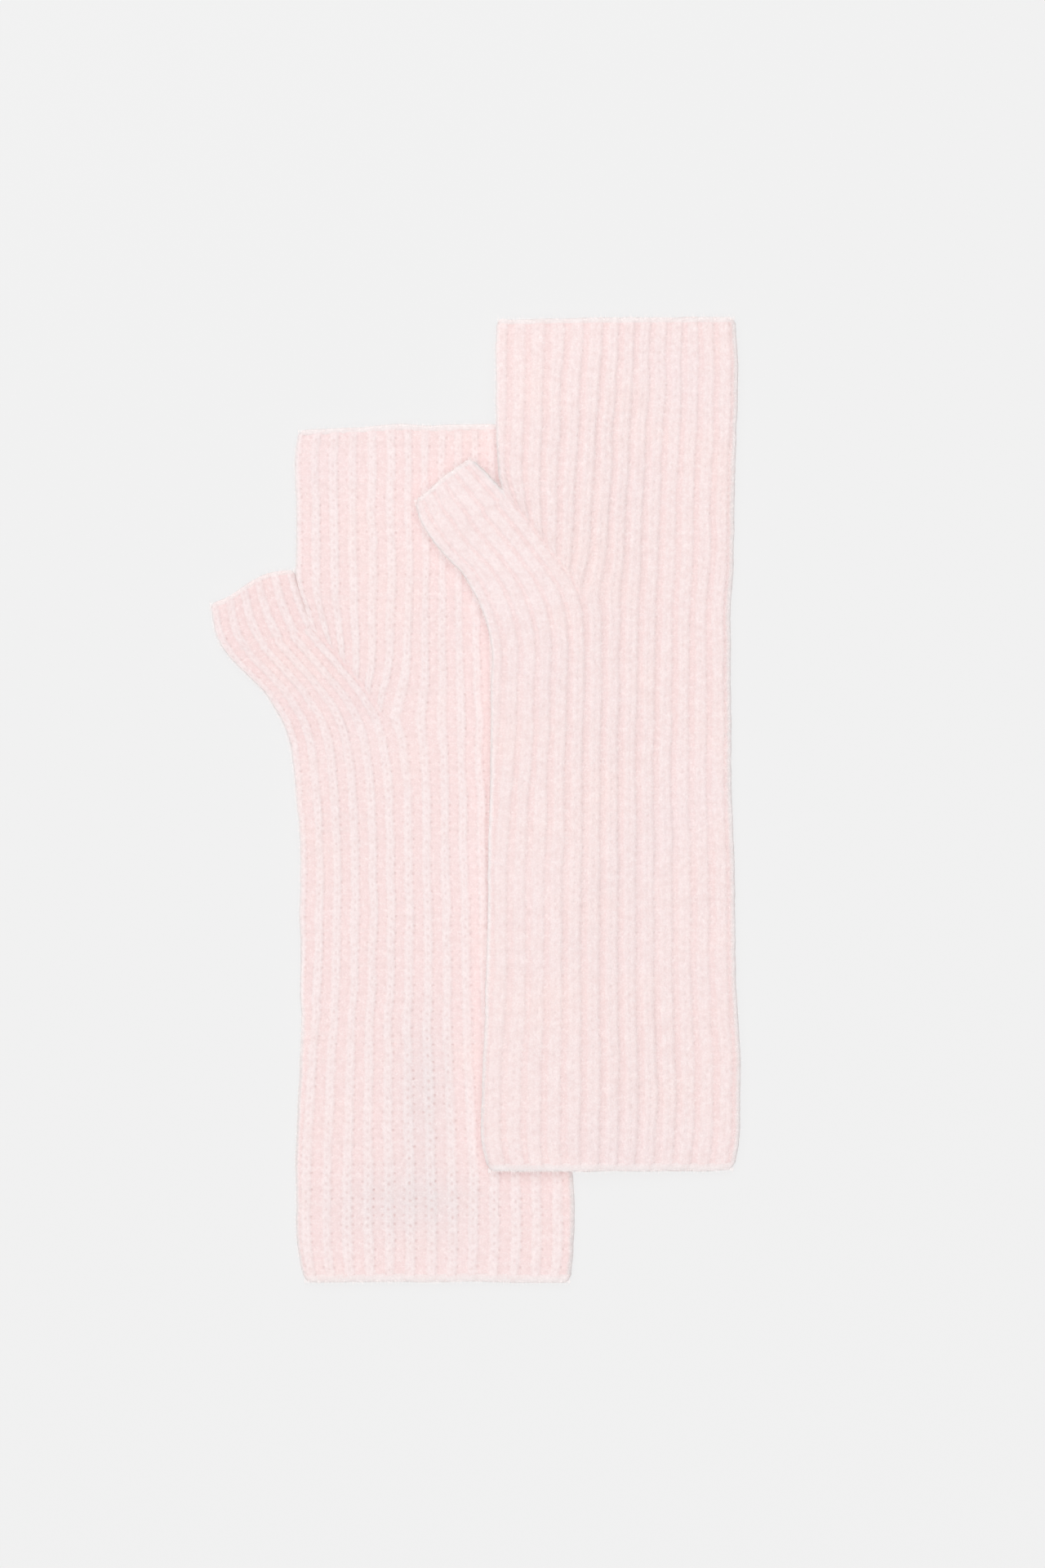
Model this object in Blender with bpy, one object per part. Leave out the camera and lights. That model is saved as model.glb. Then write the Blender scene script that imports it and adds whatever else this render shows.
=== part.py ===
"""A pair of long fingerless mitts in rib knit, laid flat, the right one lying partly on the left one.

Each mitt is a flat tube for the arm and the hand. Six ribs of its front and six of its back turn off
into a thumb tube, and the hand's own ribs start along the seam between them. A narrow cast-on or
bound-off edge finishes each of the three openings. Lengths are in millimetres until a mesh is made.
"""

import math
from collections import namedtuple

import bpy

MM = 0.001

# The cloth.
WALL = 2.0                        # knit between two ribs
RIB = 0.8                         # height of a rib over the valleys beside it
HOLLOW = 0.5                      # slit between the front panel and the back panel
SEAM = 0.3                        # clearance between pieces
MIDDLE = WALL + HOLLOW / 2        # the slit's middle over the underside
FOLD = MIDDLE + RIB / 2           # radius of a side fold
THICKNESS = 2 * MIDDLE + RIB      # underside to rib tops

# The ribs, counted from the left fold over the front and back under it.
RIBS = 28
SPLIT = 6                         # ribs between the left fold and the thumb's seam
RIGHT_FOLD = 14.5                 # ribs between the left fold and the right one
RIB_FORM = ((0.0, 0.0), (0.27, 0.85), (0.5, 1.0), (0.73, 0.85))   # place across a rib, share of RIB
EDGE_LINES = ((0.0, 1.0), (0.5, 1.0))                             # the same for an edge, which has no ribs

# The edges: height along the mitt, and how far they stand out over a plain wall.
ARM_EDGE, ARM_ROLL = 3.4, 0.7
HAND_EDGE, HAND_ROLL = 2.6, 0.3
THUMB_EDGE, THUMB_ROLL = 2.2, 0.3
EDGE_FORM = ((0.0, 0.45), (0.5, 1.0), (1.0, 0.45))   # place along an edge, share of its roll
CORNER = 1.0                      # what an edge's outer line draws in at its two sides

# How the right mitt lies: it drops from the left mitt's top to the table within DRAPE.
DRAPE = 24.0
LIFT = THICKNESS + SEAM

# One row for each section across a mitt. The section runs from its left fold through the split, where
# the thumb's ribs end, to its right fold. left_up and up are heights over the arm's edge, and turn is
# how many ribs have slipped round the left fold.
Row = namedtuple("Row", "up left_up left split right turn")
# One row for each section across a thumb, from its low side to its high side. Along the seam the high
# side is the seam itself.
Low = namedtuple("Low", "share low low_up")
Free = namedtuple("Free", "low low_up high high_up")
Mitt = namedtuple("Mitt", "name place arm hand seam_thumb free_thumb")

LEFT = Mitt(
    name="left",
    place=(0.0, 0.0),
    arm=(
        Row(0.0, 0.0, -45.9, -12.6, 47.7, 0.8),
        Row(8.6, 8.6, -47.9, -12.5, 48.5, 0.8),
        Row(28.7, 28.7, -48.8, -12.5, 48.8, 0.8),
        Row(51.7, 51.7, -48.5, -12.9, 47.9, 0.7),
        Row(80.4, 80.4, -47.2, -13.4, 45.7, 0.6),
        Row(120.6, 120.6, -47.4, -12.3, 42.2, 0.2),
        Row(158.0, 157.0, -47.8, -12.6, 40.5, 0.1),
        Row(178.0, 174.0, -49.2, -13.2, 39.6, 0.1),
        Row(198.7, 188.1, -50.5, -16.4, 38.8, 0.0),
    ),
    hand=(
        Row(198.7, 230.8, -42.5, -16.4, 38.8, 0.0),
        Row(212.0, 237.0, -45.0, -14.0, 38.0, 0.1),
        Row(230.0, 246.0, -47.6, -12.4, 37.4, 0.2),
        Row(250.0, 258.0, -48.7, -12.1, 37.0, 0.2),
        Row(273.0, 276.0, -49.0, -12.3, 36.8, 0.2),
        Row(290.0, 290.0, -49.2, -12.3, 36.5, 0.2),
        Row(301.2, 298.9, -48.5, -12.3, 35.6, 0.2),
    ),
    seam_thumb=(
        Low(0.0, -50.5, 188.1),
        Low(0.25, -52.5, 198.7),
        Low(0.5, -59.1, 205.9),
        Low(0.75, -65.5, 212.5),
        Low(1.0, -71.9, 219.2),
    ),
    free_thumb=(
        Free(-76.7, 226.2, -46.2, 238.9),
        Free(-79.2, 238.3, -48.9, 249.6),
    ),
)

RIGHT = Mitt(
    name="right",
    place=(62.9, 39.3),
    arm=(
        Row(0.0, 0.0, -44.2, -10.8, 42.2, 0.7),
        Row(9.5, 9.5, -46.2, -10.8, 43.8, 0.7),
        Row(29.6, 29.6, -46.2, -10.5, 44.5, 0.7),
        Row(66.9, 66.9, -44.9, -10.6, 42.8, 0.5),
        Row(107.0, 107.0, -44.1, -10.2, 42.1, 0.6),
        Row(136.0, 136.0, -43.4, -10.0, 41.2, 0.4),
        Row(159.0, 158.0, -43.4, -9.6, 40.9, 0.1),
        Row(179.0, 175.0, -43.2, -9.4, 40.8, 0.0),
        Row(201.3, 191.0, -43.6, -9.7, 40.8, 0.0),
    ),
    hand=(
        Row(201.3, 236.9, -37.3, -9.7, 40.8, 0.0),
        Row(214.0, 241.0, -39.5, -7.8, 41.8, 0.1),
        Row(232.0, 249.0, -40.7, -6.6, 42.2, 0.2),
        Row(248.0, 258.0, -41.2, -5.8, 42.5, 0.1),
        Row(262.0, 267.0, -41.5, -5.1, 43.0, 0.0),
        Row(270.0, 273.0, -41.6, -4.6, 43.3, 0.0),
        Row(278.0, 279.5, -41.7, -4.2, 43.5, 0.0),
        Row(287.0, 287.0, -41.9, -3.6, 43.3, 0.0),
        Row(299.5, 299.2, -41.3, -2.9, 42.2, 0.0),
    ),
    seam_thumb=(
        Low(0.0, -43.6, 191.0),
        Low(0.25, -46.5, 202.4),
        Low(0.5, -52.3, 208.4),
        Low(0.75, -58.3, 214.5),
        Low(1.0, -63.5, 220.8),
    ),
    free_thumb=(
        Free(-67.8, 227.1, -43.1, 243.5),
        Free(-70.3, 235.0, -50.3, 249.9),
    ),
)

KNIT_COLOUR = (0.94, 0.78, 0.76, 1.0)
THUMB_COLOUR = (0.94, 0.79, 0.77, 1.0)
EDGE_COLOUR = (0.95, 0.81, 0.79, 1.0)


def mix(first, second, share):
    return first + (second - first) * share


def mixed(first, second, share):
    """Two rows of a table blended, column by column."""
    return type(first)(*(mix(a, b, share) for a, b in zip(first, second)))


def row_at(rows, up):
    """The section of a mitt at a height, between the rows of its table or past the last one."""
    for low, high in zip(rows, rows[1:]):
        if up <= high.up:
            break
    return mixed(low, high, (up - low.up) / (high.up - low.up))


def smooth(share):
    share = min(max(share, 0.0), 1.0)
    return share * share * (3 - 2 * share)


def lift_at(mitt, x, y):
    """How high a mitt's underside lies. The left one is flat, and the right one lies over it."""
    if mitt.name == "left":
        return 0.0
    past_side = x - row_at(LEFT.arm + LEFT.hand[1:], y).right
    past_top = y - LEFT.hand[-1].up
    return LIFT * (1 - smooth(past_side / DRAPE)) * (1 - smooth(past_top / DRAPE))


def across(start, end, share, fold_start, fold_end):
    """A place on the front half of a flat tube's section: its core point and the way out of it."""
    length = math.dist(start, end)
    way = ((end[0] - start[0]) / length, (end[1] - start[1]) / length)
    arc = FOLD * math.pi / 2
    total = length + (arc - FOLD) * (fold_start + fold_end)
    walked = share * total
    if fold_start and walked < arc:
        along, angle, side = FOLD, walked / FOLD, -1
    elif fold_end and total - walked < arc:
        along, angle, side = length - FOLD, (total - walked) / FOLD, 1
    else:
        along, angle, side = walked - (arc - FOLD) * fold_start, math.pi / 2, 0
    core = (start[0] + way[0] * along, start[1] + way[1] * along)
    flat = side * math.cos(angle)
    return core, (way[0] * flat, way[1] * flat, math.sin(angle))


def tube_place(row, rib):
    """Where a rib's line crosses a section of the arm or the hand, counted on over the back to RIBS."""
    left = (row.left, row.left_up)
    split = (row.split, row.up)
    right = (row.right, row.up)
    rib = (rib - row.turn) % RIBS + row.turn
    back = rib > RIGHT_FOLD
    if not back and rib < SPLIT:
        core, out = across(left, split, (rib - row.turn) / (SPLIT - row.turn), True, False)
    elif not back:
        core, out = across(split, right, (rib - SPLIT) / (RIGHT_FOLD - SPLIT), False, True)
    elif rib < RIBS - SPLIT:
        core, out = across(split, right, (RIBS - SPLIT - rib) / (RIBS - SPLIT - RIGHT_FOLD), False, True)
    else:
        core, out = across(left, split, (RIBS + row.turn - rib) / (SPLIT + row.turn), True, False)
    return core, (out[0], out[1], -out[2] if back else out[2])


def thumb_place(section, rib):
    """The same for the thumb, whose ribs count from its low side: over the front up, over the back down."""
    low, high, is_open = section
    core, out = across(low, high, abs(rib) / SPLIT, True, not is_open)
    return core, (out[0], out[1], -out[2] if rib < 0 else out[2])


def form_share(form, rib):
    """How far a form stands out at a line of its rib."""
    within = rib % 1.0
    return next(share for place, share in form if abs(place - within) < 1e-6)


def lifted(mitt, core, out, depth):
    """A point this deep from the slit's middle, where the mitt lies."""
    x = core[0] + out[0] * depth + mitt.place[0]
    y = core[1] + out[1] * depth + mitt.place[1]
    return x, y, MIDDLE + out[2] * depth + lift_at(mitt, x, y)


def outer_point(mitt, place, stand):
    """A point of the outer face. What stands out over the plain wall fades to none on the underside."""
    core, out = place
    return lifted(mitt, core, out, HOLLOW / 2 + WALL + stand * min(1.0, 1.0 + out[2]))


def inner_point(mitt, place):
    core, out = place
    return lifted(mitt, core, out, HOLLOW / 2)


def form_lines(first, last, form, shows):
    """Lines along a piece: the whole form on the ribs that show, and one line a rib elsewhere."""
    lines = []
    for rib in range(first, last):
        places = form if shows(rib) else form[:1]
        lines += [rib + place for place, _ in places]
    return lines


def tube_lines(form):
    return form_lines(0, RIBS, form, lambda rib: rib <= RIGHT_FOLD + 1 or rib == RIBS - 1)


def thumb_lines(form):
    return form_lines(-SPLIT, SPLIT, form, lambda rib: rib >= -1 or rib == -SPLIT)


class Shell:
    """Points and faces of one piece: an outer and an inner skin, joined at its rims."""

    def __init__(self):
        self.points = []
        self.faces = []

    def ring(self, outer, inner):
        """Adds a section from each skin's points by line, and gives their places in the list by line."""
        skins = []
        for skin in (outer, inner):
            skins.append({})
            for line, point in skin.items():
                skins[-1][line] = len(self.points)
                self.points.append(point)
        return skins

    def sides(self, low, high, closed):
        """The outer and the inner skin between two sections."""
        for skin, inward in ((0, False), (1, True)):
            lines = sorted(low[skin])
            pairs = list(zip(lines, lines[1:])) + ([(lines[-1], lines[0])] if closed else [])
            for a, b in pairs:
                face = [low[skin][b], high[skin][b], high[skin][a], low[skin][a]]
                self.faces.append(face[::-1] if inward else face)

    def rim(self, section, pairs, upper):
        """Closes the wall at a section, with one face for each pair of inner lines."""
        outer, inner = section
        for a, b in pairs:
            between = sorted(line for line in outer if a < line and (line < b or b < a))
            path = [outer[a]] + [outer[line] for line in between] + [outer[b], inner[b], inner[a]]
            self.faces.append(path if upper else path[::-1])

    def side_end(self, low, high, line):
        """Closes the wall along the first or the last line of a piece that is open at its side."""
        face = [low[0][line], high[0][line], high[1][line], low[1][line]]
        self.faces.append(face if line < 0 else face[::-1])

    def stack(self, rings, pairs, closed):
        """Joins sections one after another and closes the wall at both ends."""
        for low, high in zip(rings, rings[1:]):
            self.sides(low, high, closed)
        self.rim(rings[0], pairs, upper=False)
        self.rim(rings[-1], pairs, upper=True)


def next_pairs(first, last):
    return [(rib, rib + 1) for rib in range(first, last)]


def tube_ring(shell, mitt, row, form, height):
    """A section of the arm or the hand, with a form of this height raised on its outer skin."""
    outer = {
        rib: outer_point(mitt, tube_place(row, rib), height * form_share(form, rib))
        for rib in tube_lines(form)
    }
    inner = {rib: inner_point(mitt, tube_place(row, rib)) for rib in range(RIBS)}
    return shell.ring(outer, inner)


def body_shell(mitt):
    """The arm and the hand, which share the lines to the right of the split."""
    shell = Shell()
    arm_rows = [row_at(mitt.arm, ARM_EDGE + SEAM)] + list(mitt.arm[1:])
    top = row_at(mitt.hand, mitt.hand[-1].up - HAND_EDGE - SEAM)
    hand_rows = list(mitt.hand[:-1]) + [top]
    arm = [tube_ring(shell, mitt, row, RIB_FORM, RIB) for row in arm_rows]
    hand = [tube_ring(shell, mitt, row, RIB_FORM, RIB) for row in hand_rows]
    for hand_skin, arm_skin in zip(hand[0], arm[-1]):
        shared = [line for line in hand_skin if SPLIT <= line <= RIBS - SPLIT]
        hand_skin.update({line: arm_skin[line] for line in shared})
    last_pair = [(RIBS - 1, 0)]
    for rings in (arm, hand):
        for low, high in zip(rings, rings[1:]):
            shell.sides(low, high, closed=True)
    shell.rim(arm[0], next_pairs(0, RIBS - 1) + last_pair, upper=False)
    shell.rim(hand[-1], next_pairs(0, RIBS - 1) + last_pair, upper=True)
    thumb_pairs = next_pairs(0, SPLIT) + next_pairs(RIBS - SPLIT, RIBS - 1) + last_pair
    shell.rim(arm[-1], thumb_pairs, upper=True)
    shell.rim(hand[0], thumb_pairs, upper=False)
    return shell


def tube_edge_shell(mitt, rows, start, height, roll):
    """A band round the arm's or the hand's opening, fullest at its middle and drawn in at its corners."""
    shell = Shell()
    free_place = 0.0 if rows is mitt.arm else 1.0
    rings = []
    for place, share in EDGE_FORM:
        inset = CORNER if place == free_place else 0.0
        row = row_at(rows, start + height * place)
        row = row._replace(left=row.left + inset, right=row.right - inset)
        rings.append(tube_ring(shell, mitt, row, EDGE_LINES, roll * share))
    shell.stack(rings, next_pairs(0, RIBS - 1) + [(RIBS - 1, 0)], closed=True)
    return shell


def mixed_point(first, second, share):
    return mix(first[0], second[0], share), mix(first[1], second[1], share)


def thumb_sections(mitt):
    """(low point, high point, open at the seam) of each row of the thumb, from the fork to its end."""
    fork = (mitt.hand[0].split, mitt.hand[0].up)
    crotch = (mitt.hand[0].left, mitt.hand[0].left_up)
    along_seam = [
        ((row.low, row.low_up), mixed_point(fork, crotch, row.share), row.share < 1.0)
        for row in mitt.seam_thumb
    ]
    free = [((row.low, row.low_up), (row.high, row.high_up), False) for row in mitt.free_thumb]
    return along_seam + free


def section_between(first, second, share):
    low = mixed_point(first[0], second[0], share)
    return low, mixed_point(first[1], second[1], share), first[2]


def section_inset(section, low_inset, high_inset):
    """A thumb section drawn in along itself by these lengths at its two sides."""
    low, high, is_open = section
    length = math.dist(low, high)
    return mixed_point(low, high, low_inset / length), mixed_point(high, low, high_inset / length), is_open


def section_from_end(mitt, height):
    """The thumb's section this far from its end."""
    before, last = thumb_sections(mitt)[-2:]
    length = math.dist(mixed_point(*before[:2], 0.5), mixed_point(*last[:2], 0.5))
    return section_between(before, last, 1 - height / length)


def thumb_ring(shell, mitt, section, form, height):
    """A section of the thumb. Where it is closed, its last line is its first one."""
    last_line = [SPLIT] if section[2] else []
    outer = {
        rib: outer_point(mitt, thumb_place(section, rib), height * form_share(form, rib))
        for rib in thumb_lines(form) + last_line
    }
    inner = {
        rib: inner_point(mitt, thumb_place(section, rib))
        for rib in list(range(-SPLIT, SPLIT)) + last_line
    }
    skins = shell.ring(outer, inner)
    for skin in skins:
        skin.setdefault(SPLIT, skin[-SPLIT])
    return skins


def thumb_shell(mitt):
    """The thumb: open along its seam up to the crotch, and a closed tube from there on."""
    shell = Shell()
    sections = thumb_sections(mitt)
    along_seam = len(mitt.seam_thumb)
    slant = 1.12                  # the seam and the fork's row meet a section at about 65 degrees
    first_step = math.dist(sections[0][1], sections[1][1])
    sections[0] = section_between(sections[0], sections[1], slant * SEAM / first_step)
    sections[-1] = section_from_end(mitt, THUMB_EDGE + SEAM)
    sections[:along_seam] = [section_inset(row, 0.0, slant * SEAM) for row in sections[:along_seam]]
    rings = [thumb_ring(shell, mitt, section, RIB_FORM, RIB) for section in sections]
    shell.stack(rings, next_pairs(-SPLIT, SPLIT), closed=False)
    for low, high, section in zip(rings, rings[1:], sections):
        if section[2]:
            shell.side_end(low, high, -SPLIT)
            shell.side_end(low, high, SPLIT)
    return shell


def thumb_edge_shell(mitt):
    """The same band round the thumb's end."""
    shell = Shell()
    rings = []
    for place, share in EDGE_FORM:
        inset = CORNER if place == 1.0 else 0.0
        section = section_inset(section_from_end(mitt, THUMB_EDGE * (1 - place)), inset, inset)
        rings.append(thumb_ring(shell, mitt, section, EDGE_LINES, THUMB_ROLL * share))
    shell.stack(rings, next_pairs(-SPLIT, SPLIT), closed=False)
    return shell


def material(name, colour):
    made = bpy.data.materials.new(name)
    made.use_nodes = True
    made.diffuse_color = colour
    shader = made.node_tree.nodes["Principled BSDF"]
    shader.inputs["Base Color"].default_value = colour
    shader.inputs["Roughness"].default_value = 0.95
    shader.inputs["Metallic"].default_value = 0.0
    return made


def pieces_of(mitt):
    """Every piece of one mitt, as name, shell and material name."""
    hand_edge_start = mitt.hand[-1].up - HAND_EDGE
    arm_edge = tube_edge_shell(mitt, mitt.arm, 0.0, ARM_EDGE, ARM_ROLL)
    hand_edge = tube_edge_shell(mitt, mitt.hand, hand_edge_start, HAND_EDGE, HAND_ROLL)
    return [
        (f"{mitt.name}_body", body_shell(mitt), "body_knit"),
        (f"{mitt.name}_thumb", thumb_shell(mitt), "thumb_knit"),
        (f"{mitt.name}_arm_edge", arm_edge, "edge_knit"),
        (f"{mitt.name}_hand_edge", hand_edge, "edge_knit"),
        (f"{mitt.name}_thumb_edge", thumb_edge_shell(mitt), "edge_knit"),
    ]


def box_middle(shells):
    """The middle of all the pieces in plan, which the part's origin stands under."""
    middles = []
    for axis in (0, 1):
        values = [point[axis] for shell in shells for point in shell.points]
        middles.append((min(values) + max(values)) / 2)
    return middles


def add_piece(name, shell, knit, collection, middle):
    used = sorted({index for face in shell.faces for index in face})
    new_index = {old: new for new, old in enumerate(used)}
    points = [shell.points[old] for old in used]
    points = [((x - middle[0]) * MM, (y - middle[1]) * MM, z * MM) for x, y, z in points]
    mesh = bpy.data.meshes.new(name)
    mesh.from_pydata(points, [], [[new_index[index] for index in face] for face in shell.faces])
    mesh.materials.append(knit)
    mesh.shade_smooth()
    mesh.set_sharp_from_angle(angle=math.radians(50))
    piece = bpy.data.objects.new(name, mesh)
    collection.objects.link(piece)


def main():
    for old in list(bpy.data.objects):
        bpy.data.objects.remove(old)
    collection = bpy.data.collections.new("pair_of_mitts")
    bpy.context.scene.collection.children.link(collection)
    knits = {
        "body_knit": material("body_knit", KNIT_COLOUR),
        "thumb_knit": material("thumb_knit", THUMB_COLOUR),
        "edge_knit": material("edge_knit", EDGE_COLOUR),
    }
    pieces = pieces_of(LEFT) + pieces_of(RIGHT)
    middle = box_middle([shell for _, shell, _ in pieces])
    for name, shell, knit in pieces:
        add_piece(name, shell, knits[knit], collection, middle)


main()
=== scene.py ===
# %% [markdown]
# # A pair of long fingerless mitts in rib knit
#
# The real pair is knitted in soft, brushed, pale pink wool. Each mitt is a flat tube with 28 ribs, of
# which 14 show. Six ribs of the front and six of the back leave the tube for the thumb, and the hand's
# own ribs start along the seam between them. The two mitts lie flat, the right one partly on the left.
#
# This lesson dresses the plain solids of the part. Every piece of knit is rebuilt as one skin of
# stitches, in the place that its solid holds. We start by loading the solids, which stay in place.

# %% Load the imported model
import math

import bpy
import numpy as np
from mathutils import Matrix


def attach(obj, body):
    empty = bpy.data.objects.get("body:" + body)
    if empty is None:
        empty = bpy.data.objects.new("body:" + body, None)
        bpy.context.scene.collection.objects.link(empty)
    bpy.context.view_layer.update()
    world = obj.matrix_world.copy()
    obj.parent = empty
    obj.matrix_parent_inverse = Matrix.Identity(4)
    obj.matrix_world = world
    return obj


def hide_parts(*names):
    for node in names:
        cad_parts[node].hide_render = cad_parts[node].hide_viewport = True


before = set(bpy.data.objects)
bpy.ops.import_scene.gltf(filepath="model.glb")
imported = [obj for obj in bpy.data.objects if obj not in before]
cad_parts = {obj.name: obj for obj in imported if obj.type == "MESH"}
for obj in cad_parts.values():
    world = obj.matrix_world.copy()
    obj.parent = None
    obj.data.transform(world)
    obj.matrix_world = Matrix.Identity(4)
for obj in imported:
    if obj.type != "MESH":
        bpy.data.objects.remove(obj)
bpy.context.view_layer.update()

print("solids:", ", ".join(sorted(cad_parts)))

# %% [markdown]
# ## The cloth's own sizes
#
# A knitter thinks in ribs and rows. A rib here is one column of V-shaped knit stitches with a column of
# purl bumps beside it, 6.2 mm across in all, and a row is 3 mm tall. The wall, the fold and the height
# of a rib are the solids' own, so they are repeated here as named values, in millimetres.

# %% Sizes of the knit
MM = 0.001
WALL = 2.0                        # knit between two ribs
RIB = 0.8                         # a rib over the valleys beside it
HOLLOW = 0.5                      # slit between the front and the back
MIDDLE = WALL + HOLLOW / 2        # the slit's middle over the table
FOLD = MIDDLE + RIB / 2           # radius of a side fold
THICKNESS = 2 * MIDDLE + RIB
LIFT = THICKNESS + 0.3            # the right mitt's underside over the table, on the left mitt
DRAPE = 44.0                      # it drops to the table within this, more softly than the solid
RIBS = 28
SPLIT = 6.0                       # ribs between the left fold and the thumb's seam
RIGHT_FOLD = 14.5                 # ribs between the left fold and the right one
LENGTH = 300.0
ROW = 3.0                         # height of a row of stitches
RIB_WIDTH = 6.2                   # a rib with the valley beside it
ARM_EDGE, ARM_ROLL = 3.4, 0.4     # height of an edge, and what it stands out
HAND_EDGE, HAND_ROLL = 2.6, 0.3
THUMB_EDGE, THUMB_ROLL = 2.2, 0.3
CORNER = 1.0                      # what an edge draws in at its corners
CENTRE = np.array([14.4644, 169.4])   # the origin, seen from the left mitt's corner
print("rows on a mitt:", round(LENGTH / ROW), "and stitches round it:", 2 * RIBS)

# %% [markdown]
# ## Where the ribs run
#
# A flat tube is easiest to describe by its sections, one below another. The arm's and the hand's rows
# hold: height at the split and right fold, height at the left fold, places of the left fold, the split
# and the right fold, and how many ribs have slipped round the left fold. A row of the thumb's seam holds
# its share of the seam and a point of the low side, and a free row a point of the low and the high side.

# %% The left mitt's sections
LEFT_TABLES = dict(
    place=(0.0, 0.0),
    arm=[
        (0.0, 0.0, -45.9, -12.6, 47.7, 0.8), (8.6, 8.6, -47.9, -12.5, 48.5, 0.8),
        (28.7, 28.7, -48.8, -12.5, 48.8, 0.8), (51.7, 51.7, -48.5, -12.9, 47.9, 0.7),
        (80.4, 80.4, -47.2, -13.4, 45.7, 0.6), (120.6, 120.6, -47.4, -12.3, 42.2, 0.2),
        (158.0, 157.0, -47.8, -12.6, 40.5, 0.1), (178.0, 174.0, -49.2, -13.2, 39.6, 0.1),
        (198.7, 188.1, -50.5, -16.4, 38.8, 0.0),
    ],
    hand=[
        (198.7, 230.8, -42.5, -16.4, 38.8, 0.0), (212.0, 237.0, -45.6, -14.0, 38.0, 0.1),
        (230.0, 246.0, -48.3, -12.4, 37.4, 0.2), (250.0, 258.0, -48.9, -12.1, 37.0, 0.2),
        (273.0, 276.0, -49.0, -12.3, 36.8, 0.2), (290.0, 290.0, -49.2, -12.3, 36.5, 0.2),
        (301.2, 298.9, -48.5, -12.3, 35.6, 0.2),
    ],
    seam_thumb=[
        (0.0, -50.5, 188.1), (0.25, -52.5, 198.7), (0.5, -59.1, 205.9),
        (0.75, -65.5, 212.5), (1.0, -71.9, 219.2),
    ],
    free_thumb=[(-76.7, 226.2, -45.4, 238.4), (-79.2, 238.3, -48.5, 249.4)],
)
print("the left mitt is", LEFT_TABLES["hand"][-1][0], "mm long")

# %% The right mitt's sections
RIGHT_TABLES = dict(
    place=(62.9, 39.3),
    arm=[
        (0.0, 0.0, -44.2, -10.8, 42.2, 0.7), (9.5, 9.5, -46.2, -10.8, 43.8, 0.7),
        (29.6, 29.6, -46.2, -10.5, 44.5, 0.7), (66.9, 66.9, -44.9, -10.6, 42.8, 0.5),
        (107.0, 107.0, -44.1, -10.2, 42.1, 0.6), (136.0, 136.0, -43.4, -10.0, 41.2, 0.4),
        (159.0, 158.0, -43.4, -9.6, 40.9, 0.1), (179.0, 175.0, -43.2, -9.4, 40.8, 0.0),
        (201.3, 191.0, -43.6, -9.7, 40.8, 0.0),
    ],
    hand=[
        (201.3, 236.9, -37.3, -9.7, 40.8, 0.0), (214.0, 241.0, -39.5, -7.8, 41.8, 0.1),
        (232.0, 249.0, -40.7, -6.6, 42.2, 0.2), (248.0, 258.0, -41.2, -5.8, 42.5, 0.1),
        (262.0, 267.0, -41.5, -5.1, 43.0, 0.0), (270.0, 273.0, -41.6, -4.6, 43.3, 0.0),
        (278.0, 279.5, -41.7, -4.2, 43.5, 0.0), (287.0, 287.0, -41.9, -3.6, 43.3, 0.0),
        (299.5, 299.2, -41.3, -2.9, 42.2, 0.0),
    ],
    seam_thumb=[
        (0.0, -43.6, 191.0), (0.25, -46.5, 202.4), (0.5, -52.3, 208.4),
        (0.75, -58.3, 214.5), (1.0, -63.5, 220.8),
    ],
    free_thumb=[(-67.8, 227.1, -43.1, 243.5), (-70.3, 235.0, -50.3, 249.9)],
)
print("the right mitt is", RIGHT_TABLES["hand"][-1][0], "mm long")

# %% [markdown]
# ## Smooth helpers
#
# Cloth has no corners between two rows of a table, so the lines of the ribs are drawn as cubic curves
# through the rows. A gentle random wave keeps them from looking ruled. It is made from a grid of seeded
# random numbers, blended smoothly, so that it comes out the same each time.

# %% Curves and gentle waves
def smooth(share):
    share = np.clip(share, 0.0, 1.0)
    return share * share * (3 - 2 * share)


def mix(first, second, share):
    return first + (second - first) * share


def curve_through(knots, values, at):
    """A cubic curve through the rows of values at these knots, read at any places."""
    knots, values = np.asarray(knots, float), np.asarray(values, float)
    slopes = np.gradient(values, knots, axis=0)
    low = np.clip(np.searchsorted(knots, at, side="right") - 1, 0, len(knots) - 2)
    step = knots[low + 1] - knots[low]
    share = (np.asarray(at, float) - knots[low]) / step
    if values.ndim > 1:
        step, share = step[..., None], share[..., None]
    rest = 1 - share
    return (
        values[low] * rest * rest * (1 + 2 * share) + slopes[low] * step * share * rest * rest
        + values[low + 1] * share * share * (3 - 2 * share) - slopes[low + 1] * step * share * share * rest
    )


WAVES = 64              # the pattern of waves repeats after this many


def gentle_waves(x, y, seed):
    """Smooth random values between about -1 and 1 over a plane, one swell to each unit."""
    grid = np.random.default_rng(seed).uniform(-1, 1, (WAVES, WAVES))
    column, row = np.floor(x).astype(int), np.floor(y).astype(int)
    across, along = smooth(x - column), smooth(y - row)
    corner = [[grid[(row + r) % WAVES, (column + c) % WAVES] for c in (0, 1)] for r in (0, 1)]
    return mix(mix(*corner[0], across), mix(*corner[1], across), along)


waves_here = gentle_waves(np.linspace(0, 30, 200), np.linspace(0, 17, 200), 3)
print("waves run from", waves_here.min().round(2), "to", waves_here.max().round(2))

# %% [markdown]
# ## A mitt as curves
#
# The thumb's ribs are the arm's own ribs, so both share one set of curves: the low side climbs the arm's
# left fold and turns off along the thumb, and the high side follows the seam from the fork to the crotch
# and then the thumb's free side. Heights go on counting in the thumb, so rows of stitches run through.

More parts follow.
